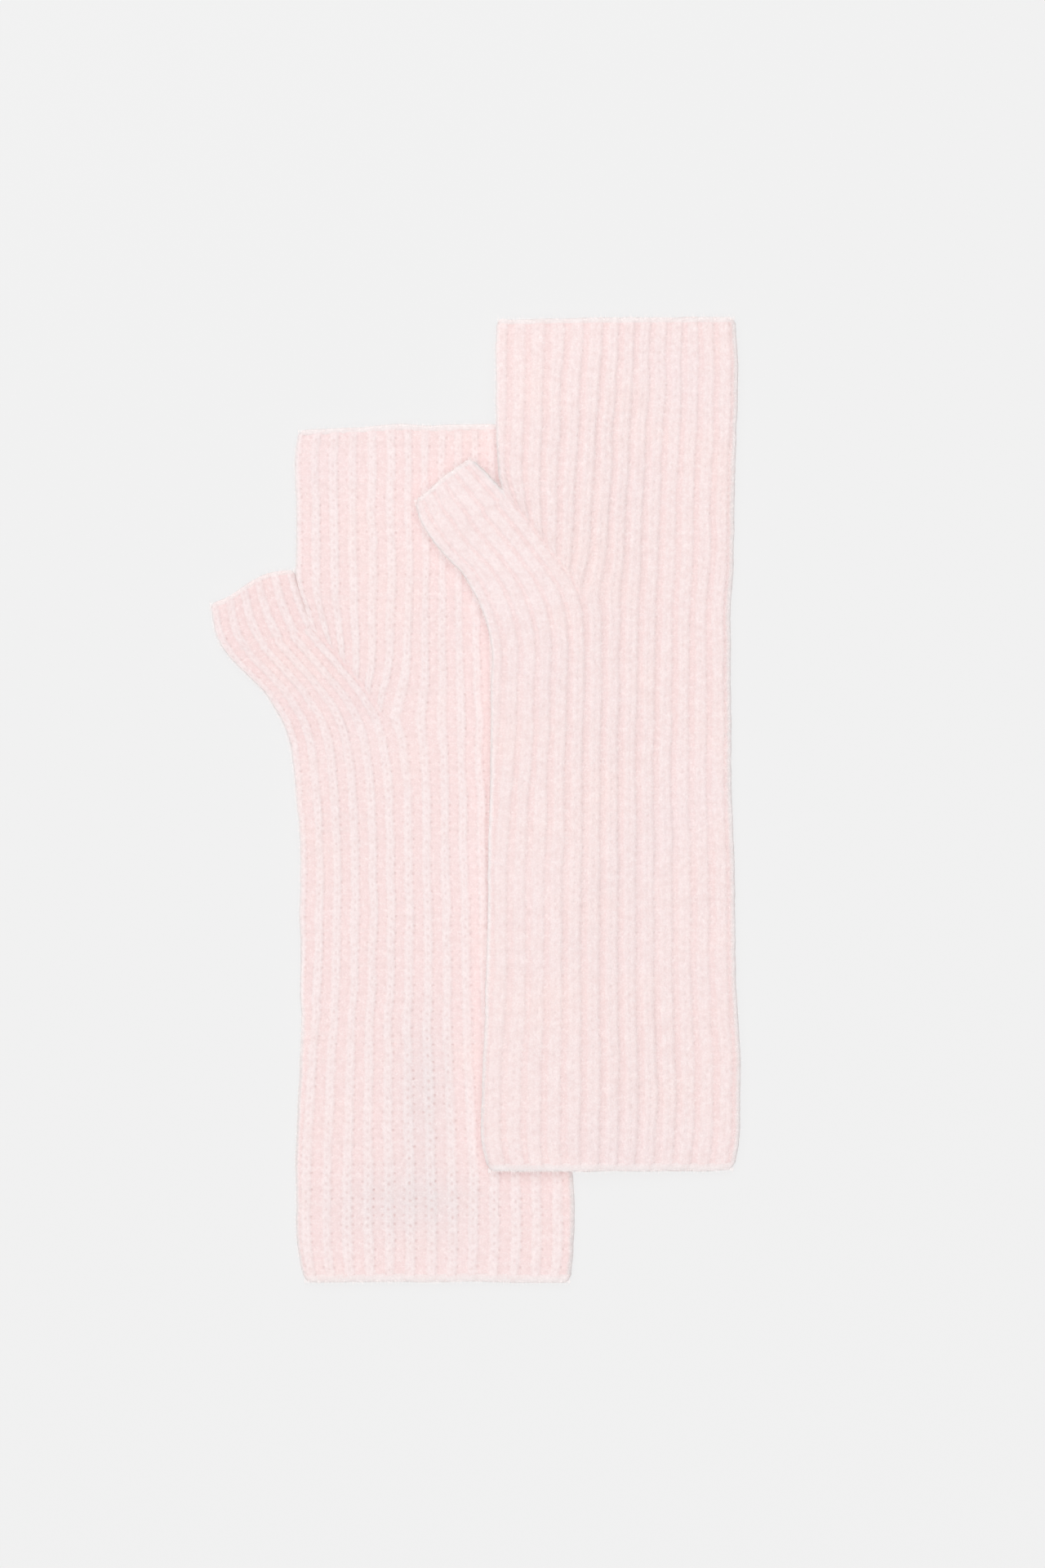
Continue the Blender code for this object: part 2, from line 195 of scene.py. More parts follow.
# %% The mitts' curves
CORNER_REACH = 10.0     # the line between thumb and hand rounds its corner at the fork within this
EASE = ((-1.0, 1 / 9), (-0.5, 2 / 9), (0.0, 3 / 9), (0.5, 2 / 9), (1.0, 1 / 9))   # steps and weights
CALM_LOW, CALM_HIGH = 162, 225        # the calm split skips the rows between these heights


class Mitt:
    def __init__(self, name, place, arm, hand, seam_thumb, free_thumb):
        self.name, self.place = name, np.array(place)
        self.arm, self.hand = np.array(arm), np.array(hand)
        self.fork = self.hand[0, [3, 0]]
        self.crotch = self.hand[0, [2, 1]]
        seam_thumb, free_thumb = np.array(seam_thumb), np.array(free_thumb)
        lows = np.vstack([seam_thumb[:, 1:], free_thumb[:, :2]])
        highs = np.vstack([mix(self.fork, self.crotch, seam_thumb[:, :1]), free_thumb[:, 2:]])
        steps = [np.linalg.norm(np.diff(side, axis=0), axis=1) for side in (lows, highs)]
        self.fork_up = self.arm[-1, 0]
        self.thumb_ups = self.fork_up + np.concatenate([[0.0], np.cumsum(np.mean(steps, axis=0))])
        self.crotch_up = self.thumb_ups[len(seam_thumb) - 1]
        self.thumb_end = self.thumb_ups[-1]
        self.low_ups = np.concatenate([self.arm[:, 0], self.thumb_ups[1:]])
        self.lows = np.vstack([self.arm[:, [2, 1]], lows[1:]])
        self.free_highs = highs[len(seam_thumb) - 1:]
        away = self.crotch - self.fork
        self.seam_length = np.linalg.norm(away)
        self.to_thumb = np.array([-away[1], away[0]]) / self.seam_length
        across_end = highs[-1] - lows[-1]
        self.thumb_way = np.array([-across_end[1], across_end[0]]) / np.linalg.norm(across_end)

    def low_side(self, up):
        return curve_through(self.low_ups, self.lows, up)

    def split_corner(self, up):
        """The line between the thumb's ribs and the rest: up the arm, then along the seam."""
        split_x = curve_through(self.arm[:, 0], self.arm[:, 3], np.minimum(up, self.fork_up))
        share = np.clip((up - self.fork_up) / (self.crotch_up - self.fork_up), 0, 1)[..., None]
        seam = mix(self.fork, self.crotch, share)
        return np.where((up < self.fork_up)[..., None], np.stack([split_x, up], -1), seam)

    def split_line(self, up):
        """The same with its corner rounded."""
        reach = CORNER_REACH * smooth(2.2 - np.abs(up - self.fork_up) / CORNER_REACH)
        return sum(self.split_corner(up + step * reach) * weight for step, weight in EASE)

    def calm_split(self, up):
        """The split without the step that it makes at the fork."""
        below, above = self.arm[:, 0] < CALM_LOW, self.hand[:, 0] > CALM_HIGH
        rows = np.vstack([self.arm[below][:, [0, 3]], self.hand[above][:, [0, 3]]])
        return np.stack([curve_through(rows[:, 0], rows[:, 1], up), up], -1)

    def high_side(self, up):
        free_ups = self.thumb_ups[-len(self.free_highs):]
        free = curve_through(free_ups, self.free_highs, np.maximum(up, self.crotch_up))
        return np.where((up < self.crotch_up)[..., None], self.split_line(up), free)


LEFT = Mitt("left", **LEFT_TABLES)
RIGHT = Mitt("right", **RIGHT_TABLES)
for mitt in (LEFT, RIGHT):
    print(mitt.name, "thumb runs on from row", round(mitt.fork_up / ROW), "to", round(mitt.thumb_end / ROW))

# %% [markdown]
# ## From a rib and a height to a place
#
# This is the heart of the model. A point of the knit is named by its rib, its height and its depth from
# the slit's middle. A section is a flat tube: straight across the front, round a half circle at each
# fold, and straight back below. Ribs are counted with the cloth, so they slip round the folds as it turns.

# %% Across a flat tube
def across_tube(start, end, share, fold_start, fold_end):
    """The core point and the way out of the cloth on the front half of a section."""
    way = end - start
    length = np.linalg.norm(way, axis=-1)
    way = way / length[..., None]
    arc = FOLD * math.pi / 2
    total = length + (arc - FOLD) * (fold_start + fold_end)
    walked = share * total
    near_start, near_end = fold_start & (walked < arc), fold_end & (total - walked < arc)
    flat_along = walked - (arc - FOLD) * fold_start
    along = np.where(near_start, FOLD, np.where(near_end, length - FOLD, flat_along))
    turned = np.where(near_start, walked / FOLD, np.where(near_end, (total - walked) / FOLD, math.pi / 2))
    sideways = np.cos(turned) * np.where(near_start, -1.0, np.where(near_end, 1.0, 0.0))
    core = start + way * along[..., None]
    out = np.stack([way[..., 0] * sideways, way[..., 1] * sideways, np.sin(turned)], axis=-1)
    return core, out


print("a fold takes up", round(math.pi * FOLD, 1), "mm of cloth")

# %% The thumb's side of a mitt, which is also the arm's left side
BEND_REACH = 20.0       # the outer ribs turn off at the fork within this length
BEND_FADE = 24.0        # and it gets shorter away from the fork


def thumb_side(mitt, up, share):
    """Between the low side and the split, the seam or the thumb's high side."""
    low, high = mitt.low_side(up), mitt.high_side(up)
    core, out = across_tube(low, high, share, True, False)
    closed_core, closed_out = across_tube(low, high, share, True, True)
    to_crotch = (mitt.crotch_up - up) / (mitt.crotch_up - mitt.fork_up) * mitt.seam_length
    shut = 1 - np.sqrt(1 - np.clip(1 - to_crotch / FOLD, 0, 1) ** 2)
    return mix(core, closed_core, shut[..., None]), mix(out, closed_out, shut[..., None])


def thumb_side_eased(mitt, up, share):
    """The same, with the ribs' bend at the fork spread along them."""
    near_fork = smooth(1.6 - np.abs(up - mitt.fork_up) / BEND_FADE)
    reach = BEND_REACH * np.clip(1 - share, 0, 1) ** 0.6 * near_fork
    cores, outs = 0.0, 0.0
    for step, weight in EASE:
        core, out = thumb_side(mitt, np.clip(up + step * reach, 0, mitt.thumb_end), share)
        cores, outs = cores + core * weight, outs + out * weight
    return cores, outs


at_fork = thumb_side_eased(LEFT, np.array([LEFT.fork_up]), np.array([1.0]))[0]
print("the left fork is at", at_fork.round(1))

# %% Places on the arm, the hand and the thumb
STEP_REACH = 1.5       # the split's step at the fork fades over this many ribs


def on_right_side(mitt, up, split, right, rib, back):
    """Between the split and the right fold, on the front or the back."""
    back_share = (RIBS - SPLIT - rib) / (RIBS - SPLIT - RIGHT_FOLD)
    share = np.where(back, back_share, (rib - SPLIT) / (RIGHT_FOLD - SPLIT))
    calm = mitt.calm_split(up)
    core, out = across_tube(calm, right, share, False, True)
    ribs_away = np.clip(share, 0, 1) * (RIGHT_FOLD - SPLIT)
    return core + (split - calm) * np.exp(-(ribs_away / STEP_REACH) ** 1.5)[..., None], out


def tube_share(rib, turn):
    """Which side of the tube a rib is on, and its share from the left fold to the split."""
    rib = np.mod(rib - turn, RIBS) + turn
    back = rib > RIGHT_FOLD
    left_side = (rib < SPLIT) | (rib > RIBS - SPLIT)
    share = np.where(back, (RIBS + turn - rib) / (SPLIT + turn), (rib - turn) / (SPLIT - turn))
    return rib, back, left_side, np.clip(share, 0, 1)


def turned_down(out, back):
    """The way out of the cloth, which points down on the back."""
    return out * np.where(back[..., None], (1.0, 1.0, -1.0), 1.0)


def joined(left_side, back, left, right):
    """Picks each point's own side."""
    core, out = (np.where(left_side[..., None], a, b) for a, b in zip(left, right))
    return core, turned_down(out, back)


SEAM_LAP = 0.25        # the hand's edge lies this far over the thumb's along the seam
CROTCH_LAP = 1.5       # and further where the two folds meet
SEAM_FADE = 16.0       # above the fork the hand's ribs forget the seam within this height


def on_arm(mitt, up, rib):
    right_x, turn = (curve_through(mitt.arm[:, 0], mitt.arm[:, k], up) for k in (4, 5))
    rib, back, left_side, share = tube_share(rib, turn)
    left = thumb_side_eased(mitt, up, share)
    right = on_right_side(mitt, up, mitt.split_line(up), np.stack([right_x, up], -1), rib, back)
    return joined(left_side, back, left, right)


def on_hand(mitt, up, rib):
    rows = (curve_through(mitt.hand[:, 0], mitt.hand[:, k], up) for k in (1, 2, 3, 4, 5))
    left_up, left_x, split_x, right_x, turn = rows
    rib, back, left_side, share = tube_share(rib, turn)
    cut = mitt.split_line(np.array(mitt.fork_up)) - mitt.fork
    near_fork = 1 - smooth((up - mitt.fork_up) / SEAM_FADE)[..., None]
    split = np.stack([split_x, up], -1) + cut * near_fork
    core, out = across_tube(np.stack([left_x, left_up], -1), split, share, True, False)
    on_seam = mitt.split_line(mix(mitt.crotch_up, mitt.fork_up, share))
    straight = mix(mitt.crotch, mitt.fork + cut, share[..., None])
    lap = SEAM_LAP * smooth((1 - share) / 0.08) + CROTCH_LAP * (1 - smooth(share / 0.2))
    core = core + (on_seam - straight + lap[..., None] * mitt.to_thumb) * near_fork
    right = on_right_side(mitt, up, split, np.stack([right_x, up], -1), rib, back)
    return joined(left_side, back, (core, out), right)


THUMB_BULGE = {"left": 3.2, "right": 0.5}      # the middle of its end reaches this far past its corners
BULGE_REACH = 17.0                             # and starts to this far below the end


def on_thumb(mitt, up, rib):
    """Ribs count from the thumb's low side, and those on the back are negative."""
    share = np.abs(rib) / SPLIT
    core, out = thumb_side_eased(mitt, up, share)
    near_end = smooth((up - mitt.thumb_end + BULGE_REACH) / BULGE_REACH)
    bulge = THUMB_BULGE[mitt.name] * smooth(1 - np.abs(share - 0.66) / 0.5) * near_end
    return core + bulge[..., None] * mitt.thumb_way, turned_down(out, rib < 0)


print("top of the left hand:", on_hand(LEFT, LEFT.hand[-1:, 0], np.array([SPLIT]))[0].round(1))

# %% [markdown]
# ## How the cloth lies
#
# The left mitt lies flat on the table. The right one lies on it and drops softly to the table past its
# side. Soft wool folds a little squarer than a half circle, so the folds are filled out. Real knit also
# swells and creeps, so the whole sheet is nudged by slow waves, and its ribs by quicker ones. Both
# pieces at a join get the same nudge, which keeps the joins shut.

# %% Lift, swells and small nudges
def lift_at(mitt, x, y):
    if mitt.name == "left":
        return np.zeros_like(x)
    ups, sides = (np.append(LEFT.arm[:, k], LEFT.hand[1:, k]) for k in (0, 4))
    side = np.interp(y, ups, sides)
    past_side, past_top = (x - side) / DRAPE, (y - LEFT.hand[-1, 0]) / DRAPE
    dropped = (smooth(past_side) + np.clip(past_side, 0, 1)) / 2
    return LIFT * (1 - dropped) * (1 - smooth(past_top))


FOLD_FULL = 0.5         # how much squarer than a half circle a fold is
FULLER_BELOW = 2.4      # and more so on its underside
# Two waves for each way that the cloth is nudged: size, then length across and along, in millimetres.
NUDGES = (
    ((0.34, 17, 13), (0.13, 6, 4.5)),
    ((0.30, 15, 19), (0.10, 5, 6)),
    ((0.28, 24, 30), (0.16, 9, 11)),
)


def filled_out(share):
    """Over 1 between the flat of a fold and its outermost line."""
    return FOLD_FULL * share * np.clip(1 - share, 0, 1)


def laid(mitt, core, out, depth):
    """The finished place of a point, in metres."""
    below = np.where(out[..., 2] < 0, FULLER_BELOW, 1.0)
    fuller = 1 + filled_out(np.hypot(out[..., 0], out[..., 1])) * below
    x, y = (core[..., k] + out[..., k] * depth * fuller for k in (0, 1))
    seed = 10 if mitt.name == "left" else 20
    nudge_x, nudge_y, swell = (
        sum(
            size * gentle_waves(x / wide, y / high, seed + 2 * k + n)
            for n, (size, wide, high) in enumerate(waves)
        )
        for k, waves in enumerate(NUDGES)
    )
    x, y = x + mitt.place[0] + nudge_x, y + mitt.place[1] + nudge_y
    rise = out[..., 2] * depth
    over = np.clip((MIDDLE + rise) / THICKNESS, 0, 1)
    higher = rise * (1 + filled_out(np.abs(out[..., 2])))
    z = MIDDLE + higher + swell * over + lift_at(mitt, x, y)
    return np.stack([x - CENTRE[0], y - CENTRE[1], np.maximum(z, 0.0)], axis=-1) * MM


lifts = lift_at(RIGHT, np.array([20.0, 60.0, 110.0]), np.array([150.0] * 3))
print("the right mitt is lifted by", lifts.round(1))

# %% [markdown]
# ## The stitches
#
# On a rib each knit stitch is a V of two short legs, and each V grows out of the one below it. Between
# two ribs the backs of purl stitches make a ladder of low bars. A leg or a bar is a short rod of yarn,
# so its height is that of a capsule lying in the cloth. The highest rod wins at every point, and every
# leg gets its own small random change, as hand-feeling wool has.

# %% A rod of yarn
def rod_height(across, along, start, end, radius):
    """How high a rod of yarn stands at a point, from 0 beside it to 1 on its middle line."""
    way = np.subtract(end, start)
    share = ((across - start[0]) * way[0] + (along - start[1]) * way[1]) / (way @ way)
    share = np.clip(share, 0, 1)
    gap = np.hypot(across - start[0] - way[0] * share, along - start[1] - way[1] * share)
    return np.sqrt(np.clip(1 - (gap / radius) ** 2, 0, 1))


rod = rod_height(np.array([0.0, 0.8]), 0.0, (0, -1), (0, 1), 0.9)
print("a rod at its middle and its side:", rod.round(2))

# %% How broad the ribs are
CROWN_FLAT = {"left": 0.95, "right": 1.5}     # from a rib's middle line to where it starts to fall
CROWN_FALL = {"left": 0.75, "right": 1.0}     # and it falls within this width
THUMB_FLAT = {"left": 1.05, "right": 1.9}     # the thumb's ribs are drawn together
THUMB_FALL = 0.75


def crown_width(mitt, rib, height, is_thumb_side):
    """(flat, fall) of the ribs, which change from the arm's to the thumb's below the fork."""
    share = is_thumb_side * smooth((height - mitt.fork_up + 34) / 46) * smooth((SPLIT - np.abs(rib)) / 0.6)
    flat = mix(CROWN_FLAT[mitt.name], THUMB_FLAT[mitt.name], share)
    return flat, mix(CROWN_FALL[mitt.name], THUMB_FALL, share)


for mitt in (LEFT, RIGHT):
    widths = crown_width(mitt, 3.0, mitt.fork_up, 1.0)
    print(mitt.name, "rib at the fork:", [round(float(width), 2) for width in widths])

# %% The relief of the rib knit
RIB_RISE = 0.36       # a rib's crown over the valley
LEG_RISE = 0.17       # the yarn of a V over the crown
BAR_RISE = 0.15       # a purl bar over the valley's floor
PIT_DEPTH = 0.16      # the small holes beside a rib
PIT_SIZE = 0.45, 0.55
LEG_RADIUS = 0.62
LEG = (0.34, -0.2), (1.08, 2.6)       # a V's leg: from and to, each across the crown and up
BAR_RADIUS = 0.75
BAR = (0.0, 1.6), (1.2, 1.25)         # half a bar, from the valley's middle line
# Waves that a rib wanders sideways in: size in mm, then change from rib to rib and length in mm.
WANDER = (0.15, 3.7, 9), (0.10, 1.3, 3)


def rib_knit(mitt_name, rib, height, flat, fall):
    """(what stands out, crown) at a rib and a height. Crown is 1 on a rib and 0 in a valley."""
    seed = {"left": 40, "right": 70}[mitt_name]
    rib, height = np.broadcast_arrays(rib, height)
    own_rib = np.floor(rib).astype(int)
    across = (rib - own_rib - 0.5) * RIB_WIDTH
    for number, (size, per_rib, per_height) in enumerate(WANDER):
        across = across + size * gentle_waves(own_rib * per_rib, height / per_height, seed + number)
    flat = flat * (1 + 0.14 * gentle_waves(own_rib * 2.9, height / 14, seed + 3))
    row = height / ROW
    own_row = np.floor(row).astype(int)
    chance = np.random.default_rng(seed).uniform(-1, 1, (8, 31, 127))
    side = (across > 0).astype(int)
    crown = 1 - smooth((np.abs(across) - flat) / fall)
    crown_edge = flat + fall / 2
    on_crown = np.abs(across) * 1.35 / crown_edge
    valley = RIB_WIDTH / 2 - np.abs(across)
    legs, bars, pits = np.zeros_like(height), np.zeros_like(height), np.zeros_like(height)
    for step in (-1, 0, 1):
        stitch = (own_row + step) % 127
        shift, size = chance[side, own_rib % 31, stitch], chance[2 + side, own_rib % 31, stitch]
        along = (row - own_row - step) * ROW + 0.16 * shift
        leg = rod_height(on_crown, along, *LEG, LEG_RADIUS * (1 + 0.08 * size))
        legs = np.maximum(legs, leg * (1 + 0.2 * size))
        bars = np.maximum(bars, rod_height(valley, along, *BAR, BAR_RADIUS))
        from_pit = np.abs(across) - crown_edge - 0.35
        pit = np.exp(-(from_pit / PIT_SIZE[0]) ** 2 - (along / PIT_SIZE[1]) ** 2)
        pits = np.maximum(pits, pit * (1 + 0.4 * size))
    own_height = 1 + 0.14 * gentle_waves(own_rib * 5.3, height / 26, seed + 2)
    stands = RIB_RISE * crown * own_height + LEG_RISE * legs * crown
    return stands + BAR_RISE * bars * (1 - crown) - PIT_DEPTH * pits, crown


FULL_RISE = RIB_RISE + LEG_RISE
one_rib, two_rows = np.linspace(0, 1, 41)[None, :], np.linspace(0, 6, 61)[:, None]
relief = rib_knit("right", one_rib, two_rows, CROWN_FLAT["right"], CROWN_FALL["right"])[0]
print("stitches stand out from", relief.min().round(2), "to", relief.max().round(2), "mm")

# %% [markdown]
# ## The seam of the thumb
#
# Along the seam the hand's stitches were picked up from the thumb's side. It shows as a narrow groove
# with a row of small beads beside it. We only need the distance from the seam: the groove lowers all
# that lies near it, and the beads are a ridge that swells and thins once a stitch.

# %% Groove and picked-up stitches
GROOVE_SHARE, GROOVE_WIDTH = 0.4, 0.8
BEAD_RISE, BEAD_WIDTH = 0.22, 0.6
BEADS_OFF = 1.3         # the beads' middle line from the seam


def beside_seam(mitt, x, y):
    """A share to lower the stitches by, and the height of the beads, near the thumb's seam."""
    away = np.stack([x, y], -1) - mitt.fork
    unit = (mitt.crotch - mitt.fork) / mitt.seam_length
    share = (away @ unit) / mitt.seam_length
    line = mitt.split_line(mix(mitt.fork_up, mitt.crotch_up, np.clip(share, 0, 1)))
    off = (away - (line - mitt.fork)) @ mitt.to_thumb
    ends = smooth((share + 0.03) / 0.06) * smooth((1.03 - share) / 0.06)
    groove = GROOVE_SHARE * np.exp(-(off / GROOVE_WIDTH) ** 2) * ends
    beat = 0.6 + 0.4 * np.cos(2 * math.pi * share * mitt.seam_length / ROW)
    beads = BEAD_RISE * np.exp(-((off + BEADS_OFF) / BEAD_WIDTH) ** 2) * beat * ends
    return groove, beads


on_seam = LEFT.split_line(np.array([LEFT.fork_up + 20.0]))
print("groove on the seam:", beside_seam(LEFT, on_seam[:, 0], on_seam[:, 1])[0].round(2))

# %% [markdown]
# ## A skin of stitches
#
# A piece of knit is a closed shell: a dense outer skin that holds the stitches, a plain inner skin, and
# a rim at each opening. The dense skin is a grid of columns along the ribs and rings across them, so
# every vertex has a rib and a height. They are kept on the face corners as a map named Knit, which the
# materials read, and a second map, OFBake, spreads the same grid over a square without overlaps.

# %% Columns and rings of the grid
RING_STEP = 0.66        # height between two rings
FRONT_COLUMNS = 10      # columns to a rib where it shows
BACK_COLUMNS = 3
TUBE_RIBS = range(-6, 22)       # round the whole tube, from the seam on its back
THUMB_RIBS = range(-6, 6)       # those of them that turn off into the thumb


def columns_between(ribs, dense_first, dense_last):
    """Places of the columns, close together between the two dense limits."""
    found = []
    for rib in ribs:
        count = FRONT_COLUMNS if dense_first <= rib < dense_last else BACK_COLUMNS
        found += [rib + k / count for k in range(count)]
    return np.array(found)


def rings_between(low, high):
    return np.linspace(low, high, max(2, round((high - low) / RING_STEP) + 1))


TUBE_COLUMNS = columns_between(TUBE_RIBS, -1, 15)
THUMB_COLUMNS = np.append(columns_between(THUMB_RIBS, -1, 6), SPLIT)
print(len(TUBE_COLUMNS), "columns round the tube and", len(THUMB_COLUMNS), "round a thumb")

# %% The outer face of a piece
LAP_SINK = 0.2          # the hand's first ring dips into the thumb along the seam


def outer_face(mitt, place_on, ups, ribs):
    """Points of the outer skin on a grid of heights and ribs, with what the materials need to know."""
    up, rib = np.broadcast_arrays(ups[:, None], ribs[None, :])
    core, out = place_on(mitt, up, rib)
    x, y = core[..., 0], core[..., 1]
    height = np.where(y > mitt.fork_up, y, up) if place_on is on_hand else up
    around = np.where(rib > RIBS / 2, rib - RIBS, rib)
    flat, fall = crown_width(mitt, around, height, 0.0 if place_on is on_hand else 1.0)
    stands, crown = rib_knit(mitt.name, rib, height, flat, fall)
    groove, beads = beside_seam(mitt, x, y) if place_on is not on_arm else (0.0, 0.0)
    stands = stands * (1 - groove) + beads
    if place_on is on_hand:
        beside_split = smooth((SPLIT - np.abs(around)) / 0.4)
        stands = stands - LAP_SINK * (1 - smooth((up - mitt.fork_up) / 1.6)) * beside_split
    front = np.clip(1 + out[..., 2], 0, 1)
    depth = HOLLOW / 2 + WALL + stands * front - (FULL_RISE - stands) * 0.6 * (1 - front)
    points = laid(mitt, core, out, depth)
    side_on = np.hypot(out[..., 0], out[..., 1])
    right_fold, left_fold = (smooth((side_on - start) / 0.6) for start in (0.2, 0.35))
    # fold is over 0 on folds that face right, for painted shade, and under 0 on folds that face left, for a
    # painted highlight.
    fold = np.where(out[..., 0] > 0, right_fold, -left_fold)
    crown_edge = flat + fall / 2 + 0 * crown
    # The crown share picks between the crowns' pink and the valleys' painted shade; the seam's groove
    # lowers it, which paints shade into the groove.
    form = np.stack([crown * (1 - groove), crown_edge, thin_at(mitt, x, y) * front, fold], axis=-1)
    return points, form, height


def inner_face(mitt, place_on, ups, ribs):
    up, rib = np.broadcast_arrays(ups[:, None], ribs[None, :])
    core, out = place_on(mitt, up, rib)
    return laid(mitt, core, out, HOLLOW / 2)


# Where the left arm's knit is worn thin: middle, reach and share. The table seems to shine through.
THIN_PLACES = (((-4.0, 66.0), (9.0, 25.0), 0.8), ((-8.0, 28.0), (22.0, 12.0), 1.0))


def thin_at(mitt, x, y):
    if mitt.name == "right":
        return np.zeros_like(x)
    found = [
        share * np.exp(-((x - middle[0]) / reach[0]) ** 2 - ((y - middle[1]) / reach[1]) ** 2)
        for middle, reach, share in THIN_PLACES
    ]
    return np.clip(sum(found), 0, 1)


print("thin places on the left arm:", len(THIN_PLACES))

# %% A mesh under construction
OUTER_WIDE, INNER_FROM, INNER_WIDE = 0.60, 0.63, 0.32      # the skins' places on the bake's map


class Skin:
    """Points, faces, and for each face corner its place on the two maps."""

    def __init__(self):
        self.points, self.forms, self.faces, self.knit, self.chart = [], [], [], [], []
        self.count = 0
        self.rims = 0

    def add_grid(self, points, forms=None):
        """Adds a grid of points, and gives the grid of their numbers."""
        numbers = np.arange(self.count, self.count + points[..., 0].size).reshape(points.shape[:-1])
        self.points.append(points.reshape(-1, 3))
        if forms is None:
            forms = np.broadcast_to((0.5, 1.5, 0.0, 0.0), points.shape[:-1] + (4,))
        self.forms.append(forms.reshape(-1, 4))
        self.count += numbers.size
        return numbers

    def add_quads(self, numbers, ribs, heights, corner, size, inward=False):
        """Joins a grid of points into faces. corner and size place it on the square of the bake's map."""
        rings, columns = numbers.shape
        ring, column = np.meshgrid(np.arange(rings - 1), np.arange(columns - 1), indexing="ij")
        picks = ((ring, column + 1), (ring + 1, column + 1), (ring + 1, column), (ring, column))
        if inward:
            picks = picks[::-1]
        faces = np.stack([numbers[pick] for pick in picks], -1).reshape(-1, 4)
        self.faces.append(faces)
        share = (ribs - ribs[0]) / (ribs[-1] - ribs[0])
        ups = corner[1] + size[1] * np.arange(rings)[:, None] / (rings - 1)
        chart = corner[0] + size[0] * share, np.broadcast_to(ups, numbers.shape)
        for kept, (wide, high) in ((self.knit, (ribs * RIB_WIDTH, heights)), (self.chart, chart)):
            corners = [np.stack([wide[c], high[r, c]], -1) for r, c in picks]
            kept.append(np.stack(corners, -2).reshape(-1, 2))

    def add_wall(self, outer, inner, ribs, heights, low, high):
        """Joins both faces of a wall. ribs holds those of the outer columns and of the inner ones."""
        tall = high - low
        self.add_quads(outer, ribs[0], heights, (0.01, low), (OUTER_WIDE, tall))
        flat = np.zeros(inner.shape)
        self.add_quads(inner, ribs[1], flat, (INNER_FROM, low), (INNER_WIDE, tall), inward=True)

    def add_rims(self, rims):
        """Adds the narrow faces that close the wall. They are hidden, so they share one spot of the map."""
        for face in rims:
            turn = np.linspace(0, 2 * math.pi, len(face), endpoint=False)
            self.knit.append(np.zeros((len(face), 2)))
            self.chart.append(np.stack([0.985 + 0.01 * np.cos(turn), 0.985 + 0.01 * np.sin(turn)], -1))
        self.faces += [np.array([face]) for face in rims]
        self.rims += len(rims)


print("a skin keeps its corners on two maps: Knit and OFBake")

# %% From a skin to an object
def put(name, data, place=(0.0, 0.0, 0.0), turn=(0.0, 0.0, 0.0)):
    """Puts a mesh, a light or a camera into the scene, turned by degrees."""
    made = bpy.data.objects.new(name, data)
    made.location = place
    made.rotation_euler = [math.radians(angle) for angle in turn]
    bpy.context.scene.collection.objects.link(made)
    return made


def add_piece(name, skin, finish, nodes):
    """Makes the mesh, hangs it on the root, and hides the solids that it stands for."""
    faces = [face for group in skin.faces for face in group.tolist()]
    mesh = bpy.data.meshes.new(name)
    mesh.from_pydata(np.vstack(skin.points).tolist(), [], faces)
    for map_name, corners in (("Knit", skin.knit), ("OFBake", skin.chart)):
        layer = mesh.uv_layers.new(name=map_name)
        layer.uv.foreach_set("vector", np.vstack(corners).astype(np.float32).ravel())
    form = mesh.attributes.new("form", "FLOAT_COLOR", "POINT")
    form.data.foreach_set("color", np.vstack(skin.forms).astype(np.float32).ravel())
    mesh.shade_smooth()
    if skin.rims:
        sharp = mesh.attributes.new("sharp_edge", "BOOLEAN", "EDGE")
        edge_of_corner = np.empty(len(mesh.loops), np.int32)
        mesh.loops.foreach_get("edge_index", edge_of_corner)
        first_rim_corner = mesh.polygons[len(mesh.polygons) - skin.rims].loop_start
        is_sharp = np.zeros(len(mesh.edges), bool)
        is_sharp[edge_of_corner[first_rim_corner:]] = True
        sharp.data.foreach_set("value", is_sharp)
    mesh.materials.append(finish)
    piece = put(name, mesh)
    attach(piece, "root")
    if nodes:
        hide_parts(*nodes)
    mesh.calc_loop_triangles()
    size = [round(side * 1000, 1) for side in piece.dimensions]
    print(name, "has", len(mesh.loop_triangles), "triangles and is", size, "mm")
    return piece


print("maps are written corner by corner")

# %% [markdown]
# ## The finish: a class for shader maths
#
# A material is a tree of nodes. Writing every link by hand hides the idea, so a small class wraps a
# socket: adding or multiplying two of them adds the Math node that does it. Colours go through a Mix
# node, since a Math node would turn them grey. All other nodes come from one method.

# %% Shader maths
class Wire:
    """A socket of a finish, so that shader maths reads as Python."""

    def __init__(self, finish, socket):
        self.finish, self.socket = finish, socket

    def maths(self, operation, first, second):
        return self.finish.node("ShaderNodeMath", {"operation": operation}, {0: first, 1: second})

    def __add__(self, other):
        return self.maths("ADD", self, other)

    def __radd__(self, other):
        return self.maths("ADD", other, self)

    def __sub__(self, other):
        return self.maths("SUBTRACT", self, other)

    def __rsub__(self, other):
        return self.maths("SUBTRACT", other, self)

    def __mul__(self, other):
        return self.maths("MULTIPLY", self, other)

    def __rmul__(self, other):
        return self.maths("MULTIPLY", other, self)


